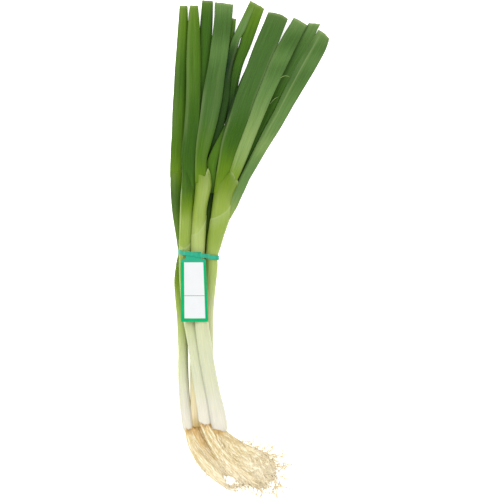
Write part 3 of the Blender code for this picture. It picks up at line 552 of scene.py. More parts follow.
# Leaves
# Twelve hollow green leaves, flattened by packing, with fine veins along them and a dull waxy bloom.
# Each grows out of the mouth or the side of its stem, and all are cut off square or slanting at the top.
LEAF_SIDES = 64
LEAF_STEP = 0.95
LEAF_WALL = 0.75
LEAF_END = 16.0
LEAF_BEYOND = 6.0
LEAF_FACET = np.cos(np.pi / 10)
LEAVES = {
    # base: x, y, width and depth inside the stem, and height over its middle. clear: y where it is free
    # cut: slant of the end, longer: added to it, crowned: its middle's lead. trim, stops, streaks: as above
    "a1": dict(
        base=(-16.0, 78.0, 11.4, 6.4, 0.0), clear=97.0, cut=0.0, longer=0.6,
        trim=[(78, -1.6, 0.8), (90, -1.5, 1.5), (102, -1.0, 1.5), (120, -0.8, 1.4), (140, -0.9, 1.2),
              (165, -0.5, 0.2), (190, -0.5, -0.6), (225, -0.5, -1.4), (238, -0.5, -2.6),
              (249, -0.5, -3.3)],
        # Painted shade down a1's right side, under the edge of c2, and painted light down its left side.
        stops=[(78, "grass"), (86, "grass"), (106, "leaf"), (150, "leaf"), (175, "deep"), (205, "leaf"),
               (249, "grass")], streaks_and_painted_shade=[(-0.6, 0.35, 125, 250, 0.12), (0.85, 0.35, 80, 250, -0.5)],
    ),
    # Onion b lies under the others: the darkest stops of its leaves are painted shade.
    "b1": dict(
        base=(18.0, 58.0, 5.5, 2.0, -2.2), clear=73.0, cut=-0.1, longer=0.8,
        stops=[(58, "shade"), (120, "shade"), (170, "shade"), (205, "painted_shade"), (236, "leaf")], streaks_and_painted_shade=[],
    ),
    "b2": dict(
        base=(18.8, 58.0, 6.0, 2.0, 0.0), clear=73.0, cut=-0.42, longer=0.2, crowned=0.4,
        trim=[(130, 0.0, 0.0), (150, 0.0, -0.8), (168, 0.0, -1.4), (187, 0.0, -1.2), (200, 0.2, -0.5),
              (212, 0.4, -0.2), (222, -0.6, -0.2), (240, -0.8, 0.0)],
        stops=[(58, "shade"), (130, "shade"), (160, "painted_shade"), (190, "deep"), (225, "leaf"),
               (249, "grass")], streaks_and_painted_shade=[(-0.8, 0.3, 150, 240, -0.3)],
    ),
    "b3": dict(
        base=(18.2, 58.0, 5.0, 2.0, 2.2), clear=73.0, cut=-0.4, longer=0.7,
        trim=[(195, 0.0, 1.0), (205, -0.2, 1.0), (210, -0.3, 0.4), (217, -0.4, 0.0), (224, -0.5, 1.2),
              (240, -0.5, 1.2)],
        stops=[(58, "shade"), (120, "painted_shade"), (165, "painted_shade"), (186, "shade"), (193, "shade"),
               (205, "painted_shade"), (213, "blue"), (224, "bloom"), (238, "bloom"), (252, "grass")],
        streaks_and_painted_shade=[(0.6, 0.3, 180, 250, 0.12)],
    ),
    # c1 lies between c2 and d2: the darker strips down both its sides are painted shade.
    "c1": dict(
        base=(-5.0, 66.0, 7.0, 2.6, -2.2), clear=84.0, cut=-0.07, longer=0.8,
        stops=[(66, "deep"), (110, "deep"), (180, "deep"), (240, "deep"), (254, "leaf")],
        streaks_and_painted_shade=[(-0.8, 0.25, 90, 250, -0.35), (0.9, 0.3, 90, 250, -0.5)],
    ),
    "c2": dict(
        base=(-5.0, 64.0, 13.0, 5.4, 1.5), clear=83.0, cut=0.0, longer=0.6,
        trim=[(64, 0.0, 0.5), (80, 0.0, 1.6), (130, 0.0, 1.6), (150, 0.0, 0.6), (225, 0.0, 0.3),
              (238, 0.0, -0.4), (249, 0.0, -1.0)],
        stops=[(64, "leaf"), (84, "deep"), (100, "deep"), (140, "deep"), (180, "leaf"), (225, "leaf"),
               (249, "grass")],
        streaks_and_painted_shade=[(-0.75, 0.25, 120, 250, 0.2), (0.5, 0.2, 95, 130, -0.25), (0.1, 0.3, 160, 240, 0.06)],
    ),
    # d1 lies under other leaves: its darkest stops and the darker strip down its right side are painted
    # shade.
    "d1": dict(
        base=(15.2, 62.0, 9.5, 2.8, -3.6), clear=93.0, cut=-0.4,
        trim=[(62, 0.0, 0.8), (75, 0.0, 1.6), (93, 0.0, 2.4), (105, 0.0, 1.2), (130, 0.0, 0.0),
              (190, 0.0, 0.0), (208, -0.5, 1.8), (235, -1.0, 3.2)],
        stops=[(62, "painted_shade"), (76, "leaf"), (95, "leaf"), (118, "leaf"), (130, "painted_shade"), (160, "shade"),
               (220, "deep")], streaks_and_painted_shade=[(0.9, 0.3, 80, 220, -0.4)],
    ),
    "d2": dict(
        base=(8.9, 72.0, 12.4, 6.0, 1.0), clear=92.0, cut=-0.12,
        stops=[(72, "grass"), (82, "grass"), (94, "leaf"), (114, "leaf"), (135, "blue"), (165, "blue"),
               (186, "blue"), (205, "bloom"), (220, "blue"), (235, "blue"), (251, "bloom")],
        trim=[(72, -0.6, 0.0), (120, -0.5, 0.0), (220, -0.3, 0.2), (251, -0.6, 0.6)],
        streaks_and_painted_shade=[(-0.9, 0.2, 80, 165, 0.25), (0.4, 0.35, 95, 190, 0.1), (0.0, 0.15, 180, 250, -0.1)],
    ),
    "e1": dict(
        base=(31.0, 46.0, 6.0, 2.4, -3.2), clear=76.0, cut=-0.1, longer=0.6,
        trim=[(46, 0.0, 0.0), (100, -1.0, 2.2), (215, -1.0, 2.2), (226, 0.0, 0.6)],
        stops=[(46, "deep"), (110, "deep"), (135, "deep"), (165, "deep"), (185, "blue"), (212, "blue"),
               (231, "bloom")], streaks_and_painted_shade=[(-0.5, 0.4, 140, 210, -0.2)],
    ),
    "e2": dict(
        base=(30.0, 34.0, 6.0, 2.8, 0.4), clear=68.0, cut=-0.58, longer=1.0, crowned=1.4, ridge=0.45,
        trim=[(34, 0.0, 3.0), (48, 0.0, 2.9), (60, 0.0, 1.3), (75, 0.0, -0.1), (90, 0.0, 0.2),
              (115, 0.8, 0.3), (135, 1.0, 0.5), (160, 0.2, 0.8), (185, -0.2, 0.9), (222, -0.2, 0.2)],
        stops=[(34, "young"), (48, "mist"), (62, "bloom"), (96, "bloom"), (109, "mist"), (122, "bloom"),
               (150, "bloom"), (178, "blue"), (195, "bloom"), (207, "blue"), (222, "bloom")],
        streaks_and_painted_shade=[(-0.4, 0.07, 120, 222, 0.45), (-0.75, 0.2, 80, 215, -0.25),
                 (0.1, 0.25, 150, 215, -0.1)],
    ),
    "e3": dict(
        base=(29.0, 62.0, 17.0, 7.6, 0.8), clear=84.0, cut=-0.29, longer=0.2, crowned=1.8,
        trim=[(180, 0.0, 0.0), (200, -0.4, 0.0), (225, -0.6, 0.0), (239, -0.5, 0.0)],
        stops=[(62, "fresh"), (76, "grass"), (88, "grass"), (100, "leaf"), (114, "deep"), (130, "deep"),
               (150, "blue"), (190, "blue"), (215, "blue"), (239, "blue")],
        streaks_and_painted_shade=[(-0.9, 0.15, 80, 140, 0.3), (0.86, 0.1, 140, 210, 0.2), (0.45, 0.25, 90, 150, -0.15)],
    ),
    "e4": dict(
        base=(32.5, 56.0, 8.0, 5.0, 1.4), clear=86.0, cut=-0.42, longer=0.2, crowned=0.4,
        trim=[(84, -2.0, 0.0), (110, -1.8, 0.3), (130, -0.8, 0.5), (160, -0.6, 0.7), (190, -0.5, 0.3),
              (210, -0.3, 0.6), (222, 0.3, 1.0), (233, 1.4, 1.4)],
        stops=[(60, "fresh"), (80, "fresh"), (96, "mist"), (125, "mist"), (150, "bloom"),
               (172, "bloom"), (186, "blue"), (197, "bloom"), (208, "blue"), (220, "blue"),
               (233, "bloom")], streaks_and_painted_shade=[(0.5, 0.3, 90, 160, 0.12), (-0.85, 0.2, 90, 220, 0.1)],
    ),
}

leaf_forms = {}
for key, leaf in LEAVES.items():
    high = reach("leaf_" + key)[1]
    start_x, start_y, start_w, start_d, lift = leaf["base"]
    stem_z = stem_forms[key[0]].at(start_y)[1]
    left, right = slices("leaf_" + key, [high - 14.0])[:2]
    half_end = (right - left)[0] / 2 * 0.9
    end = high - abs(leaf["cut"]) * half_end + leaf.get("longer", 0.0)
    stop = min(end - abs(leaf["cut"]) * half_end - 0.4, high - 1.0)
    clear = leaf["clear"]
    y = np.arange(start_y, end + LEAF_BEYOND, FORM_STEP)
    left, right, under, over = slices("leaf_" + key, np.clip(y, clear, stop))
    half = (right - left) / 2 / LEAF_FACET
    rows = np.stack([(left + right) / 2, (under + over) / 2, half, (over - under) / 2])
    tail = y > stop
    fit = (y > stop - 8.0) & ~tail
    for values in rows:
        values[tail] = np.polyval(np.polyfit(y[fit], values[fit], 1), y[tail])
    base_part = np.clip((clear - y) / (clear - start_y), 0.0, 1.0)
    base_values = [start_x, stem_z + lift, start_w / 2, start_d / 2]
    rows = [row * (1 - base_part) + value * base_part for row, value in zip(rows, base_values)]
    rows = smooth(np.array(rows), 9.0)
    trim_y, trim_left, trim_right = np.array(leaf.get("trim", [(0.0, 0.0, 0.0)])).T
    left = rows[0] - rows[2] + np.interp(y, trim_y, trim_left)
    right = rows[0] + rows[2] + np.interp(y, trim_y, trim_right)
    made = Form(y, (left, right, rows[1] - rows[3], rows[1] + rows[3]))
    made.end = end
    leaf_forms[key] = made

for key, leaf in LEAVES.items():
    form = leaf_forms[key]
    turn = way_round(LEAF_SIDES)
    phase = ord(key[0]) * 2.3 + ord(key[1]) * 1.1
    end_w = np.interp(form.end, form.y, form.w)
    ragged = 0.15 * np.sin(3 * turn + phase) + 0.1 * np.sin(7 * turn + phase)
    slant = leaf["cut"] * end_w * np.cos(turn) + leaf.get("crowned", 0.0) * np.sin(turn) ** 2 + ragged
    count = int((form.end - form.y[0]) / LEAF_STEP)
    outer = np.linspace(form.y[0], form.end, count)[:, None]
    outer_y = outer + slant * ease((outer - form.end + LEAF_END) / LEAF_END)
    back = np.linspace(0.0, 1.0, 10)[1:, None]
    inner_y = form.end + slant * (1 - back) - back * LEAF_END
    y, inset = over_rim(outer_y, form.end + slant, LEAF_WALL, inner_y, LEAF_WALL + back * 0.5)
    x, z, w, d = form.at(y)
    ribs = 0.05 * np.cos(11 * turn + 0.8 * np.sin(y / 37 + phase))
    ribs = (ribs + 0.04 * np.cos(16 * turn + y / 60 + phase)) * ease(d - 1.0)
    wave = 1 + 0.012 * np.sin(y / 13 + phase) + 0.01 * np.sin(y / 7.3 + 2 * phase)
    dip = 0.28 * bell(np.cos(turn) - 0.25 * np.sin(phase + y / 60), 0.35) * (d / 2.4)
    ridge = leaf.get("ridge", 0.0) * bell(np.cos(turn) + 0.4, 0.1) * (np.sin(turn) > 0)
    ridge = ridge * window(y, 110, 225, 20.0)
    across = (w * wave + ribs - inset) * np.cos(turn)
    through = (d + ribs + ridge - dip - inset * 0.85) * np.sin(turn)
    rings = np.stack([x + across, y, z + through], axis=-1)
    rings[..., 2] = np.maximum(rings[..., 2], TABLE)
    grain = grain_at(turn, y, w.mean() / GRAIN_WIDE, phase)
    streak_and_painted_shade = sum_streaks_and_painted_shade(leaf["streaks_and_painted_shade"], np.cos(turn) + 0 * y, y)
    to_rim = form.end + slant - y
    light = np.where(inset > 0, 0.75, 0.55 * bell(to_rim, 1.6) + 0.12 * bell(to_rim, 9.0))
    light = light + 0.08 * bell(np.sin(turn), 0.35)
    piece = skin("leaf_skin_" + key, rings, {"grain": grain, "streak_and_painted_shade": streak_and_painted_shade, "light": light})
    waxy = plant_skin("leaf_green_" + key, leaf["stops"], veins=0.17, softness=0.0, gloss=0.42)
    piece.data.materials.append(waxy)
    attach(piece, "root")
    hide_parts("leaf_" + key)

# Fibres
# Two torn strips of leaf skin, thin as hairs, curl up from the right-hand leaves where they were peeled.
# Each is a bent tube of its own, with one end laid on the leaf.
FIBRE_STEPS = 40
FIBRE_SIDES = 10
FIBRE_HALF = 0.34
FIBRES = {
    # ends: x and y of both. rise and bow: how far the middle stands up and bends aside
    "upper": dict(leaf="e4", ends=(87.5, 177.2, 96.5, 178.0), rise=1.2, bow=1.5),
    "lower": dict(leaf="e2", ends=(77.0, 151.5, 85.5, 158.5), rise=1.6, bow=0.9),
}
for key, fibre in FIBRES.items():
    x0, y0, x1, y1 = fibre["ends"]
    t = np.linspace(0.0, 1.0, FIBRE_STEPS)[:, None]
    turn = 2 * np.pi * np.arange(FIBRE_SIDES) / FIBRE_SIDES
    x = x0 + (x1 - x0) * t
    y = y0 + (y1 - y0) * t + fibre["bow"] * np.sin(np.pi * t)
    at_x, at_z, at_w, at_d = leaf_forms[fibre["leaf"]].at(y)
    level = np.sqrt(np.clip(1 - ((x - at_x) / at_w) ** 2, 0.0, 1.0))
    z = at_z + at_d * level.max() + 0.15 + fibre["rise"] * np.sin(np.pi * t * 0.8)
    radius = FIBRE_HALF * (1 - 0.55 * t**3)
    ahead = np.gradient(np.concatenate([x, y], axis=1), axis=0)
    ahead /= np.linalg.norm(ahead, axis=1, keepdims=True)
    aside = radius * np.cos(turn)
    rings = [x + aside * ahead[:, 1:], y - aside * ahead[:, :1], z + radius * np.sin(turn)]
    rings = np.stack(rings, axis=-1)
    grain = np.stack([np.cos(turn) + 0 * t, 9.0 * t + 0 * turn, np.sin(turn) + 0 * t], axis=-1)
    light = 0.3 + 0 * rings[..., 0]
    strip = skin("fibre_" + key, rings, {"grain": grain, "streak_and_painted_shade": 0 * light, "light": light})
    stops = [(140, "mist"), (190, "mist")]
    waxy = plant_skin("fibre_skin_" + key, stops, veins=0.12, softness=0.0, gloss=0.42)
    strip.data.materials.append(waxy)
    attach(strip, "root")
    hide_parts("leaf_" + fibre["leaf"])

# Roots
# Five tufts of thin dry roots, one under each stem, that hang down and sweep over to the right.
# A matted core fills each tuft, single roots lie over it, and loose kinked hairs stand off its end.
ROOT_STEPS = 24
HAIR_STEPS = 14
CORE_SIDES = 72
CORE_ROWS = 56
HOLE_X = 38.2
HOLE_HALF = 9.0
HOLE_LEAN = 0.2
# y far from the hole and its change there: the highest for the tuft below it, the lowest for the others
HOLE_FOOT = (-160.0, -70.8)
HOLE_TOP = (-240.0, 18.2)
# height at the bulbs and its change to the tips: where the two layers meet, and their top
MEETING = (10.2, -4.5)
HEAP_TOP = (20.0, -8.5)
LOWEST = -236.0
HAIR_BEYOND = 7.0
BROWN = (0.1, 0.85)
TUFTS = {
    # bend and tips: the way from the left or lower side of the tuft to its right or upper side
    # wide: spread to either side at the bulb. reach: length of its loose hairs
    # hole: it runs below the hole. brown: part of the way down that is brown, and how strongly
    "a": dict(
        layer="lower", hole="below", wide=(0.5, 1.15),
        bend=[(-6.5, -211.5), (3.0, -208.0), (10.5, -205.0)],
        tips=[(36.0, -236.0), (43.0, -235.0), (50.0, -234.0)], roots=240, hairs=30, reach=7.0, seed=11,
    ),
    "b": dict(
        layer="lower", brown=(0.6, 1.1), wide=(1.5, 1.6), bend=[(9.0, -206.0), (26.0, -203.0)],
        tips=[(46.0, -232.5), (56.0, -233.0), (66.0, -233.5)], roots=240, hairs=14, reach=7.0, seed=12,
    ),
    "e": dict(
        layer="lower", wide=(0.9, 0.76), bend=[(28.0, -206.0), (40.0, -193.0)],
        tips=[(62.0, -233.5), (83.0, -233.0), (86.5, -218.0), (82.0, -203.0)], roots=240, hairs=60,
        reach=20.0, seed=13,
    ),
    "c": dict(
        layer="upper", wide=(1.0, 1.15), bend=[(18.5, -202.5), (37.0, -202.0)],
        tips=[(44.0, -231.5), (60.0, -232.5), (76.0, -235.0)], roots=270, hairs=14, reach=7.0, seed=14,
    ),
    "d": dict(
        layer="upper", wide=(1.15, 0.52),
        bend=[(23.0, -208.0), (36.0, -203.0), (43.0, -197.0), (44.5, -188.0)],
        tips=[(61.0, -233.0), (81.0, -235.5), (86.0, -225.0), (87.0, -211.0), (80.0, -200.0)],
        roots=320, hairs=84, reach=22.0, seed=15,
    ),
}


def tongue(tuft, bulb, lane, level, t):
    """A tuft as a bent tongue, over the lane across it and t along it, both from 0 to 1.

    Plan: a curve of the second degree from the bulb over the bend to the tips, each taken at the lane.
    Height: the middle plus the level times half the tuft's depth, both eased from the bulb's own to the
    layer's as t goes from 0 to 0.35. Round the hole, 1 over 1 plus the sixth power of the way from its
    middle holds a tuft above it or below it."""
    lane = np.clip(lane, -0.09, 1.09)
    x, y, z, w, d = bulb
    across = 2 * lane - 1
    wide = np.where(across < 0, *tuft["wide"])
    start = (x + wide * w * across, y + 0.9 + 3.2 * across**2)
    plan = []
    for axis in (0, 1):
        ways = [np.array(tuft[name])[:, axis] for name in ("bend", "tips")]
        bend, tips = [np.interp(lane, np.linspace(0, 1, len(way)), way) for way in ways]
        plan.append(start[axis] * (1 - t) ** 2 + 2 * bend * t * (1 - t) + tips * t**2)
    beside = plan[0] - HOLE_X
    near = 1 / (1 + (beside / HOLE_HALF) ** 6)
    if tuft.get("hole") == "below":
        plan[1] = np.minimum(plan[1], HOLE_FOOT[0] + HOLE_FOOT[1] * near**0.25 - HOLE_LEAN * beside)
    else:
        plan[1] = np.maximum(plan[1], HOLE_TOP[0] + HOLE_TOP[1] * near - HOLE_LEAN * beside)
    divide = MEETING[0] + MEETING[1] * t
    low, high = (0.5, divide) if tuft["layer"] == "lower" else (divide, HEAP_TOP[0] + HEAP_TOP[1] * t)
    blend = ease(t / 0.35)
    middle = z * (1 - blend) + (low + high) / 2 * blend
    half = 1.04 * d * (1 - blend) + (high - low) / 2 * blend
    return np.stack([*plan, np.maximum(middle + half * level, 0.35)], axis=-1)


def tubes(lines, radius):
    """Three-sided tubes round middle lines (tubes, steps, xyz): side times cosine plus up times sine.

    Side is level, and up is square to it and to the line. Gives points, quads and the ends' triangles."""
    ahead = np.gradient(lines, axis=1)
    ahead /= np.linalg.norm(ahead, axis=2, keepdims=True)
    side = np.cross(ahead, (0.0, 0.0, 1.0))
    side /= np.linalg.norm(side, axis=2, keepdims=True)
    up = np.cross(side, ahead)
    turn = 2 * np.pi * np.arange(3) / 3 + np.pi / 2
    ring = np.cos(turn)[:, None] * side[:, :, None] + np.sin(turn)[:, None] * up[:, :, None]
    points = lines[:, :, None] + radius[:, :, None, None] * ring
    grid = np.arange(points.size // 3).reshape(points.shape[:3])
    after = np.roll(grid, -1, axis=2)
    quads = np.stack([grid[:, :-1], grid[:, 1:], after[:, 1:], after[:, :-1]], axis=-1).reshape(-1, 4)
    ends = np.concatenate([grid[:, 0, ::-1], grid[:, -1]])
    return points.reshape(-1, 3), quads, ends


for key, tuft in TUFTS.items():
    form = stem_forms[key]
    wide, deep = form.at(form.y[0] + 3.0)[2:]
    bulb = (form.x[0], form.y[0], form.z[0], wide, deep)
    draw = np.random.default_rng(tuft["seed"])

    turn = way_round(CORE_SIDES)
    rise = np.linspace(-0.01, 1.0, CORE_ROWS)[:, None]
    ragged = 0.91 + 0.03 * np.sin(5 * turn + tuft["seed"]) + 0.03 * np.sin(13 * turn)
    t = rise * ragged - 0.02 * (1 + np.sin(11 * turn + 3) * np.sin(4 * turn)) * (1 - rise)
    ribs = 0.03 * np.sin(17 * turn + 2.0 * np.sin(5 * t))
    ribs = ribs + 0.03 * np.sin(31 * turn + 3.0 * np.sin(7 * t + 1))
    size = (0.88 + ribs) * (1 - 0.9 * ease((rise - 0.9) / 0.1) ** 2)
    rings = tongue(tuft, bulb, 0.5 - 0.5 * size * np.cos(turn), (size - 0.05) * np.sin(turn), t + 0 * turn)
    flow = np.stack([14.0 * turn + 0 * t, 90.0 * t + 0 * turn, 0 * t + 0 * turn], axis=-1)
    tone_and_shade = 0.12 + 0.5 * t + 0 * turn
    core = skin("root_core_" + key, rings, {"grain": flow, "tone_and_shade": tone_and_shade, "place": t + 0 * turn})

    count = tuft["roots"]
    shape = (count, 1)
    spot = draw.random(shape)
    turn = np.where(draw.random(shape) < 0.65, np.arccos(1 - 2 * spot), np.pi * spot)
    turn = np.where(draw.random(shape) < 0.12, -turn, turn)
    t = np.linspace(0, 1, ROOT_STEPS) * (1.0 - 0.4 * draw.random(shape) ** 1.6)
    t = t - 0.05 * draw.random(shape) ** 2
    phase = draw.uniform(0, 2 * np.pi, (5, *shape))
    sway = draw.uniform(0.1, 0.5, shape) * np.sin(draw.uniform(3, 8, shape) * t + phase[0])
    sway = sway + draw.uniform(0.04, 0.14, shape) * np.sin(draw.uniform(12, 24, shape) * t + phase[1])
    sway = sway + 0.07 * np.sin(draw.uniform(26, 40, shape) * t + phase[4])
    bold = draw.random(shape) < 0.22
    sway = np.where(bold, 1.5 * sway, sway)
    lie = np.clip(turn, -3.1, 3.1)
    turn = turn + sway * (0.5 + 0.7 * t) * ease(t / 0.2)
    drift = draw.normal(0, 0.42, shape)
    turn = turn + np.where(bold, drift, 0.25 * drift) * (t - 0.3)
    size = draw.uniform(0.84, 1.04, shape) + 0.06 * np.sin(draw.uniform(5, 14, shape) * t + phase[2])
    size = size + 0.12 * ease((t - 0.6) / 0.4) * np.sin(phase[3]) + 0.12 * (draw.random(shape) < 0.04)
    size = np.where(bold, 0.98 + 0.25 * (size - 0.95), size)
    lines = tongue(tuft, bulb, 0.5 - 0.5 * size * np.cos(turn), size * np.sin(turn), t)
    radius = np.where(bold, 0.48, draw.uniform(0.26, 0.42, shape)) * (1 - 0.3 * np.clip(t, 0, 1))
    tone_and_shade = np.where(bold, 1.0, draw.uniform(0.0, 0.3, shape))
    # Painted light and shade: strands over the top and bottom of the tuft keep their tone and those along
    # its sides are darkened, on a tone that differs at random from strand to strand.
    tone_and_shade = tone_and_shade * (0.55 + 0.45 * np.abs(np.sin(lie))) + 0 * t
    root_parts = [(lines, radius, tone_and_shade, t)]

    count = tuft["hairs"]
    shape = (count, 1)
    edge = draw.random(shape) < 0.4
    side = np.where(draw.random(shape) < 0.5, 0.2, np.pi - 0.2)
    turn = np.where(edge, side, np.arccos(1 - 2 * draw.random(shape)))
    t = np.where(edge, draw.uniform(0.42, 1.0, shape), 1 - 0.25 * draw.random(shape) ** 2)
    start = tongue(tuft, bulb, 0.5 - 0.5 * np.cos(turn), np.sin(turn), t)
    ahead = start - tongue(tuft, bulb, 0.5 - 0.5 * np.cos(turn), np.sin(turn), t - 0.03)
    outward = -np.sign(np.cos(turn)) * (t < 0.9)
    heading = np.arctan2(ahead[..., 1], ahead[..., 0]) + 0.5 * outward + draw.normal(0, 0.5, shape)
    heading = heading + np.cumsum(draw.normal(0, 0.42, (count, HAIR_STEPS)), axis=1)
    stride = tuft["reach"] * draw.uniform(0.3, 1.3, shape) / HAIR_STEPS
    way = np.cumsum(np.stack([stride * np.cos(heading), stride * np.sin(heading)], axis=-1), axis=1)
    sink = start[..., 2] + np.cumsum(draw.normal(-0.12, 0.2, (count, HAIR_STEPS)), axis=1)
    plan = start[..., :2] + way
    past = np.clip(LOWEST - plan[..., 1], 0.0, None)
    plan[..., 1] += past - HAIR_BEYOND * np.tanh(past / HAIR_BEYOND)
    lines = np.concatenate([plan, np.maximum(sink, 0.4)[..., None]], axis=-1)
    radius = draw.uniform(0.44, 0.58, shape) * np.linspace(1, 0.7, HAIR_STEPS)
    root_parts.append((lines, radius, 0.2 * draw.random(shape) + 0 * radius, 0.68 + 0 * radius))

    points, faces, tones_and_shade, places, flows = [], [], [], [], []
    for lines, radius, tone_and_shade, t in root_parts:
        before = sum(len(block) for block in points)
        part_points, quads, ends = tubes(lines, radius)
        faces += (quads + before).tolist() + (ends + before).tolist()
        points.append(part_points)
        tones_and_shade.append(np.repeat(tone_and_shade, 3))
        places.append(np.repeat(t, 3))
        number = np.arange(len(lines))[:, None] * 7.3 + 0 * t
        flows.append(np.repeat(np.stack([number, 60.0 * t, 0 * t], axis=-1).reshape(-1, 3), 3, axis=0))
    mesh = bpy.data.meshes.new("root_tuft_" + key)
    mesh.from_pydata((np.concatenate(points) * MM).tolist(), [], faces)
    for name, blocks in (("tone_and_shade", tones_and_shade), ("place", places), ("grain", flows)):
        store(mesh, name, np.concatenate(blocks))
    mesh.shade_smooth()
    strands = show("root_tuft_" + key, mesh)

    made, tree, shader = finish("dry_root_" + key, Roughness=0.62, Specular_IOR_Level=0.15)
    tone_and_shade_out = stored(tree, "tone_and_shade")
    place_out = stored(tree, "place")
    grain = stored(tree, "grain", "Vector")
    spot = node(tree, "ShaderNodeTexCoord").outputs["Object"]
    patches = speckle(tree, spot, (160, 160, 160))
    fibres = speckle(tree, grain, (1.3, 0.12, 1.3))
    # The tone picks between a golden and a pale colour; its darkening along the tuft's sides is painted
    # shade.
    base = mix(tree, "MIX", tone_and_shade_out, colour(229, 206, 150, 0.75), colour(253, 249, 229, 0.85))
    base = mix(tree, "MIX", spread(tree, patches, 0.5, 0.72, 0.0, 0.45), base, colour(218, 190, 124, 0.75))
    base = mix(tree, "MULTIPLY", 1.0, base, spread(tree, fibres, 0.3, 0.7, 0.84, 1.1))
    tips = spread(tree, place_out, 0.45, 0.9, 0.0, 0.65)
    base = mix(tree, "MIX", tips, base, colour(251, 239, 209, 0.83))
    fade, strength = tuft.get("brown", BROWN)
    worn = spread(tree, speckle(tree, grain, (0.5, 0.06, 0.5), 2.0), 0.35, 0.6, 0.3, 1.0)
    brown = maths(tree, "MULTIPLY", spread(tree, place_out, 0.0, fade, strength, 0.0), worn)
    base = mix(tree, "MIX", brown, base, colour(207, 166, 92, 0.84))
    tree.links.new(base, shader.inputs["Base Color"])
    relief(tree, shader, fibres, 0.6, 0.25)
    for piece in (core, strands):
        piece.data.materials.append(made)
        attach(piece, "root")
        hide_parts("roots_" + key)

# Band
# A flat green plastic band, drawn tight round the five stems and over the neck of the tag.
# It is a closed strip with soft edges, a little wavy where the stems press on it.
BAND_HALF = 2.2
BAND_THICK = 0.6
BAND_STEPS = 320
BAND_SIDES = 20
BAND_TIGHT = 0.9
band_points = node_points("tag_band")[:, [0, 2]]
turn = 2 * np.pi * np.arange(720) / 720
facing = np.stack([np.cos(turn), np.sin(turn)], axis=1)
hull = band_points[(band_points @ facing.T).argmax(axis=0)]
hull = hull[np.any(hull != np.roll(hull, 1, axis=0), axis=1)]
closed = np.concatenate([hull, hull[:1]])
run = np.concatenate([[0.0], np.cumsum(np.linalg.norm(np.diff(closed, axis=0), axis=1))])
place = np.linspace(0, run[-1], BAND_STEPS, endpoint=False)
outline = np.stack([np.interp(place, run, column) for column in closed.T])
outline = smooth(np.concatenate([outline[:, -40:], outline, outline[:, :40]], axis=1), 3.0)[:, 40:-40].T
band_middle = (outline[:, 0].max() + outline[:, 0].min()) / 2
band_reach = (outline[:, 0].max() - outline[:, 0].min()) / 2
outline[:, 0] = band_middle + (outline[:, 0] - band_middle) * (1 - BAND_TIGHT / band_reach)
ahead = np.roll(outline, -1, axis=0) - np.roll(outline, 1, axis=0)
ahead /= np.linalg.norm(ahead, axis=1, keepdims=True)
outward = np.stack([ahead[:, 1], -ahead[:, 0]], axis=1)
middle_line = outline - outward * BAND_THICK / 2
corner = np.linspace(0, 2 * np.pi, BAND_SIDES, endpoint=False)
profile_out = np.sign(np.sin(corner)) * np.abs(np.sin(corner)) ** 0.5 * BAND_THICK / 2
profile_along = np.sign(np.cos(corner)) * np.abs(np.cos(corner)) ** 0.35 * BAND_HALF
round_place = 2 * np.pi * np.arange(BAND_STEPS)[:, None] / BAND_STEPS
flutter = 0.10 * np.sin(7 * round_place + 0.6) + 0.07 * np.sin(17 * round_place)
strip_along = profile_along * (1 + 0.02 * np.sin(11 * round_place)) + flutter
crease = 0.05 * np.sin(23 * round_place) * np.cos(corner)
strip = middle_line[:, None] + outward[:, None] * (profile_out + crease)[..., None]
band_y = BAND_LINE[0] + BAND_LINE[1] * strip[..., 0] + strip_along
points = np.stack([strip[..., 0], band_y, np.maximum(strip[..., 1], 0.0)], axis=-1)
grid = np.arange(BAND_STEPS * BAND_SIDES).reshape(BAND_STEPS, BAND_SIDES)
ahead_grid = np.roll(grid, -1, axis=0)
faces = np.stack([grid, np.roll(grid, -1, axis=1), np.roll(ahead_grid, -1, axis=1), ahead_grid], axis=-1)
mesh = bpy.data.meshes.new("green_band")
mesh.from_pydata((points.reshape(-1, 3) * MM).tolist(), [], faces.reshape(-1, 4).tolist())
mesh.shade_smooth()
green_band = show("green_band", mesh)
made, tree, shader = finish("band_plastic", Specular_IOR_Level=0.15)
spot = node(tree, "ShaderNodeTexCoord").outputs["Object"]
blotch = speckle(tree, spot, (260, 90, 260))
fibre = speckle(tree, spot, (350, 2200, 350), 2.0)
patchy = spread(tree, blotch, 0.35, 0.65)
base = mix(tree, "MIX", patchy, colour(34, 166, 130), colour(54, 182, 144))
base = mix(tree, "MULTIPLY", 1.0, base, spread(tree, fibre, 0.3, 0.7, 0.94, 1.05))
tree.links.new(base, shader.inputs["Base Color"])
tree.links.new(spread(tree, blotch, 0.3, 0.7, 0.36, 0.5), shader.inputs["Roughness"])
relief(tree, shader, fibre, 0.4, 0.1)
mesh.materials.append(made)
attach(green_band, "root")
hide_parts("tag_band")

# Tag
# A smooth printed plastic tag: a blank white panel with a green border and a thin ruled line.
# It is one thin sheet whose short neck is held under the band, and it lies along the stems.
TAG_THICK = 0.7
TAG_FOOT = 66.5
NECK_HALF = 7.5
CORNER = 0.7
SHOULDER = 0.5
RULE_DOWN = 40.5
RULE_HALF = 0.25
# where green turns into white: in from the left and the right edge, and down from the band
WHITE_LEFT = (3.35, 3.6)
WHITE_RIGHT = (2.6, 2.85)
WHITE_TOP = (7.15, 7.45)
WHITE_LOW = (62.8, 63.1)
TAG_COLUMNS = 41
# first y, last y and number of rows: neck, shoulder, panel and foot
TAG_ROWS = [(3.0, -3.4, 10), (-3.6, -5.6, 9), (-6.2, -64.5, 90), (-64.8, -TAG_FOOT, 9)]


def drawn_in(share, radius):
    """How far a round corner draws the edge in: its radius less the height of its circle at the share."""
    return radius * (1 - np.sqrt(np.clip(1 - share**2, 0, 1))) * (share > 0)


def sheet_faces(grid):
    """The quads between the rows and columns of a grid of point numbers."""
    return np.stack([grid[:-1, :-1], grid[1:, :-1], grid[1:, 1:], grid[:-1, 1:]], axis=-1).reshape(-1, 4)


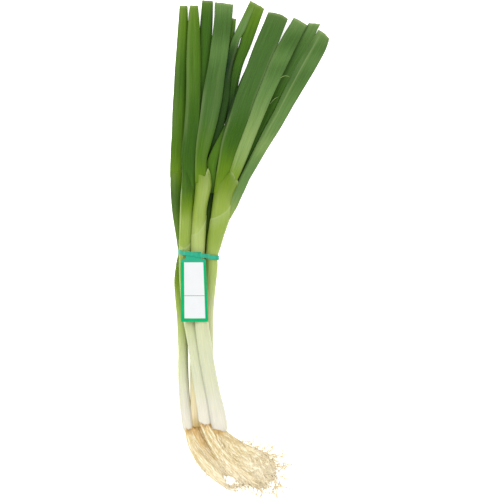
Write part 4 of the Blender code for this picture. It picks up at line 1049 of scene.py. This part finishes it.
tag_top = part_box("tag_label")[1][2] / MM
tag_rows = np.concatenate([np.linspace(*run) for run in TAG_ROWS])[:, None]
tag_x = np.interp(-tag_rows, [-3.0, 4.0, TAG_FOOT], [0.9, 0.55, 1.9])
panel_half = np.interp(-tag_rows, [4.6, 35.0, TAG_FOOT], [12.55, 13.05, 13.5])
half_wide = NECK_HALF + (panel_half - NECK_HALF) * ease(-tag_rows - 3.4)
below = np.clip((-tag_rows - (TAG_FOOT - CORNER)) / CORNER, 0, 1)
above = np.clip((5.1 + tag_rows) / CORNER, 0, 1) * (tag_rows < -4.2)
half_wide = half_wide - drawn_in(below, CORNER) - drawn_in(above, SHOULDER)
fraction = np.linspace(-1, 1, TAG_COLUMNS)[None]
curl = 0.12 * np.sin(-tag_rows / 9.0) * np.cos(fraction * 1.4) - 0.10 * fraction**2
curl = curl + 0.05 * np.sin(-tag_rows / 3.7 + fraction * 2)
curl = curl * ease((-tag_rows - 6.0) / 10.0)
top_x = tag_x + half_wide * fraction
top = np.stack([top_x, tag_rows + 0 * fraction, tag_top + np.minimum(curl, 0.1)], axis=-1)
bottom = top - np.array([0.0, 0.0, TAG_THICK - 0.1])
rows, columns = top.shape[:2]
upper = np.arange(rows * columns).reshape(rows, columns)
lower = upper + rows * columns
border = np.concatenate([upper[0, :-1], upper[:-1, -1], upper[-1, :0:-1], upper[:0:-1, 0]])
under_border = border + rows * columns
faces = np.concatenate([
    sheet_faces(upper), np.roll(sheet_faces(lower)[:, ::-1], 1, axis=1),
    np.stack([border, np.roll(border, -1), np.roll(under_border, -1), under_border], axis=-1),
])
points = np.concatenate([top.reshape(-1, 3), bottom.reshape(-1, 3)]) * MM
mesh = bpy.data.meshes.new("blank_tag")
mesh.from_pydata(points.tolist(), [], faces.tolist())
for name, values in (("side", fraction * half_wide), ("down", -tag_rows), ("reach", half_wide)):
    store(mesh, name, np.tile(np.broadcast_to(values, (rows, columns)).ravel(), 2))
mesh.shade_smooth()
mesh.set_sharp_from_angle(angle=0.9)
blank_tag = show("blank_tag", mesh)
made, tree, shader = finish("tag_print", Specular_IOR_Level=0.1, Coat_Weight=0.03, Coat_Roughness=0.3)
side_out = stored(tree, "side")
down_out = stored(tree, "down")
reach_out = stored(tree, "reach")
from_left = spread(tree, maths(tree, "ADD", reach_out, side_out), *WHITE_LEFT)
from_right = spread(tree, maths(tree, "SUBTRACT", reach_out, side_out), *WHITE_RIGHT)
inside_sides = maths(tree, "MULTIPLY", from_left, from_right)
inside_top = spread(tree, down_out, *WHITE_TOP)
inside_low = spread(tree, down_out, *WHITE_LOW, 1.0, 0.0)
panel = maths(tree, "MULTIPLY", maths(tree, "MULTIPLY", inside_sides, inside_top), inside_low)
spot = node(tree, "ShaderNodeTexCoord").outputs["Object"]
blotch = speckle(tree, spot, (120, 120, 120))
paper = speckle(tree, spot, (1800, 1800, 1800))
from_neck = spread(tree, down_out, 6.6, 8.0)
green = mix(tree, "MIX", from_neck, colour(48, 176, 136), colour(0, 180, 110))
green = mix(tree, "MULTIPLY", 1.0, green, spread(tree, blotch, 0.3, 0.7, 0.93, 1.05))
card = mix(tree, "MULTIPLY", 1.0, colour(238, 240, 241), spread(tree, blotch, 0.3, 0.7, 0.985, 1.01))
base = mix(tree, "MIX", panel, green, card)
ruled = maths(tree, "MULTIPLY", maths(tree, "COMPARE", down_out, RULE_DOWN, RULE_HALF), panel)
base = mix(tree, "MIX", ruled, base, colour(40, 160, 115))
tree.links.new(base, shader.inputs["Base Color"])
tree.links.new(spread(tree, blotch, 0.3, 0.7, 0.32, 0.42), shader.inputs["Roughness"])
relief(tree, shader, paper, 0.25, 0.05)
mesh.materials.append(made)
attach(blank_tag, "root")
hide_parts("tag_label")
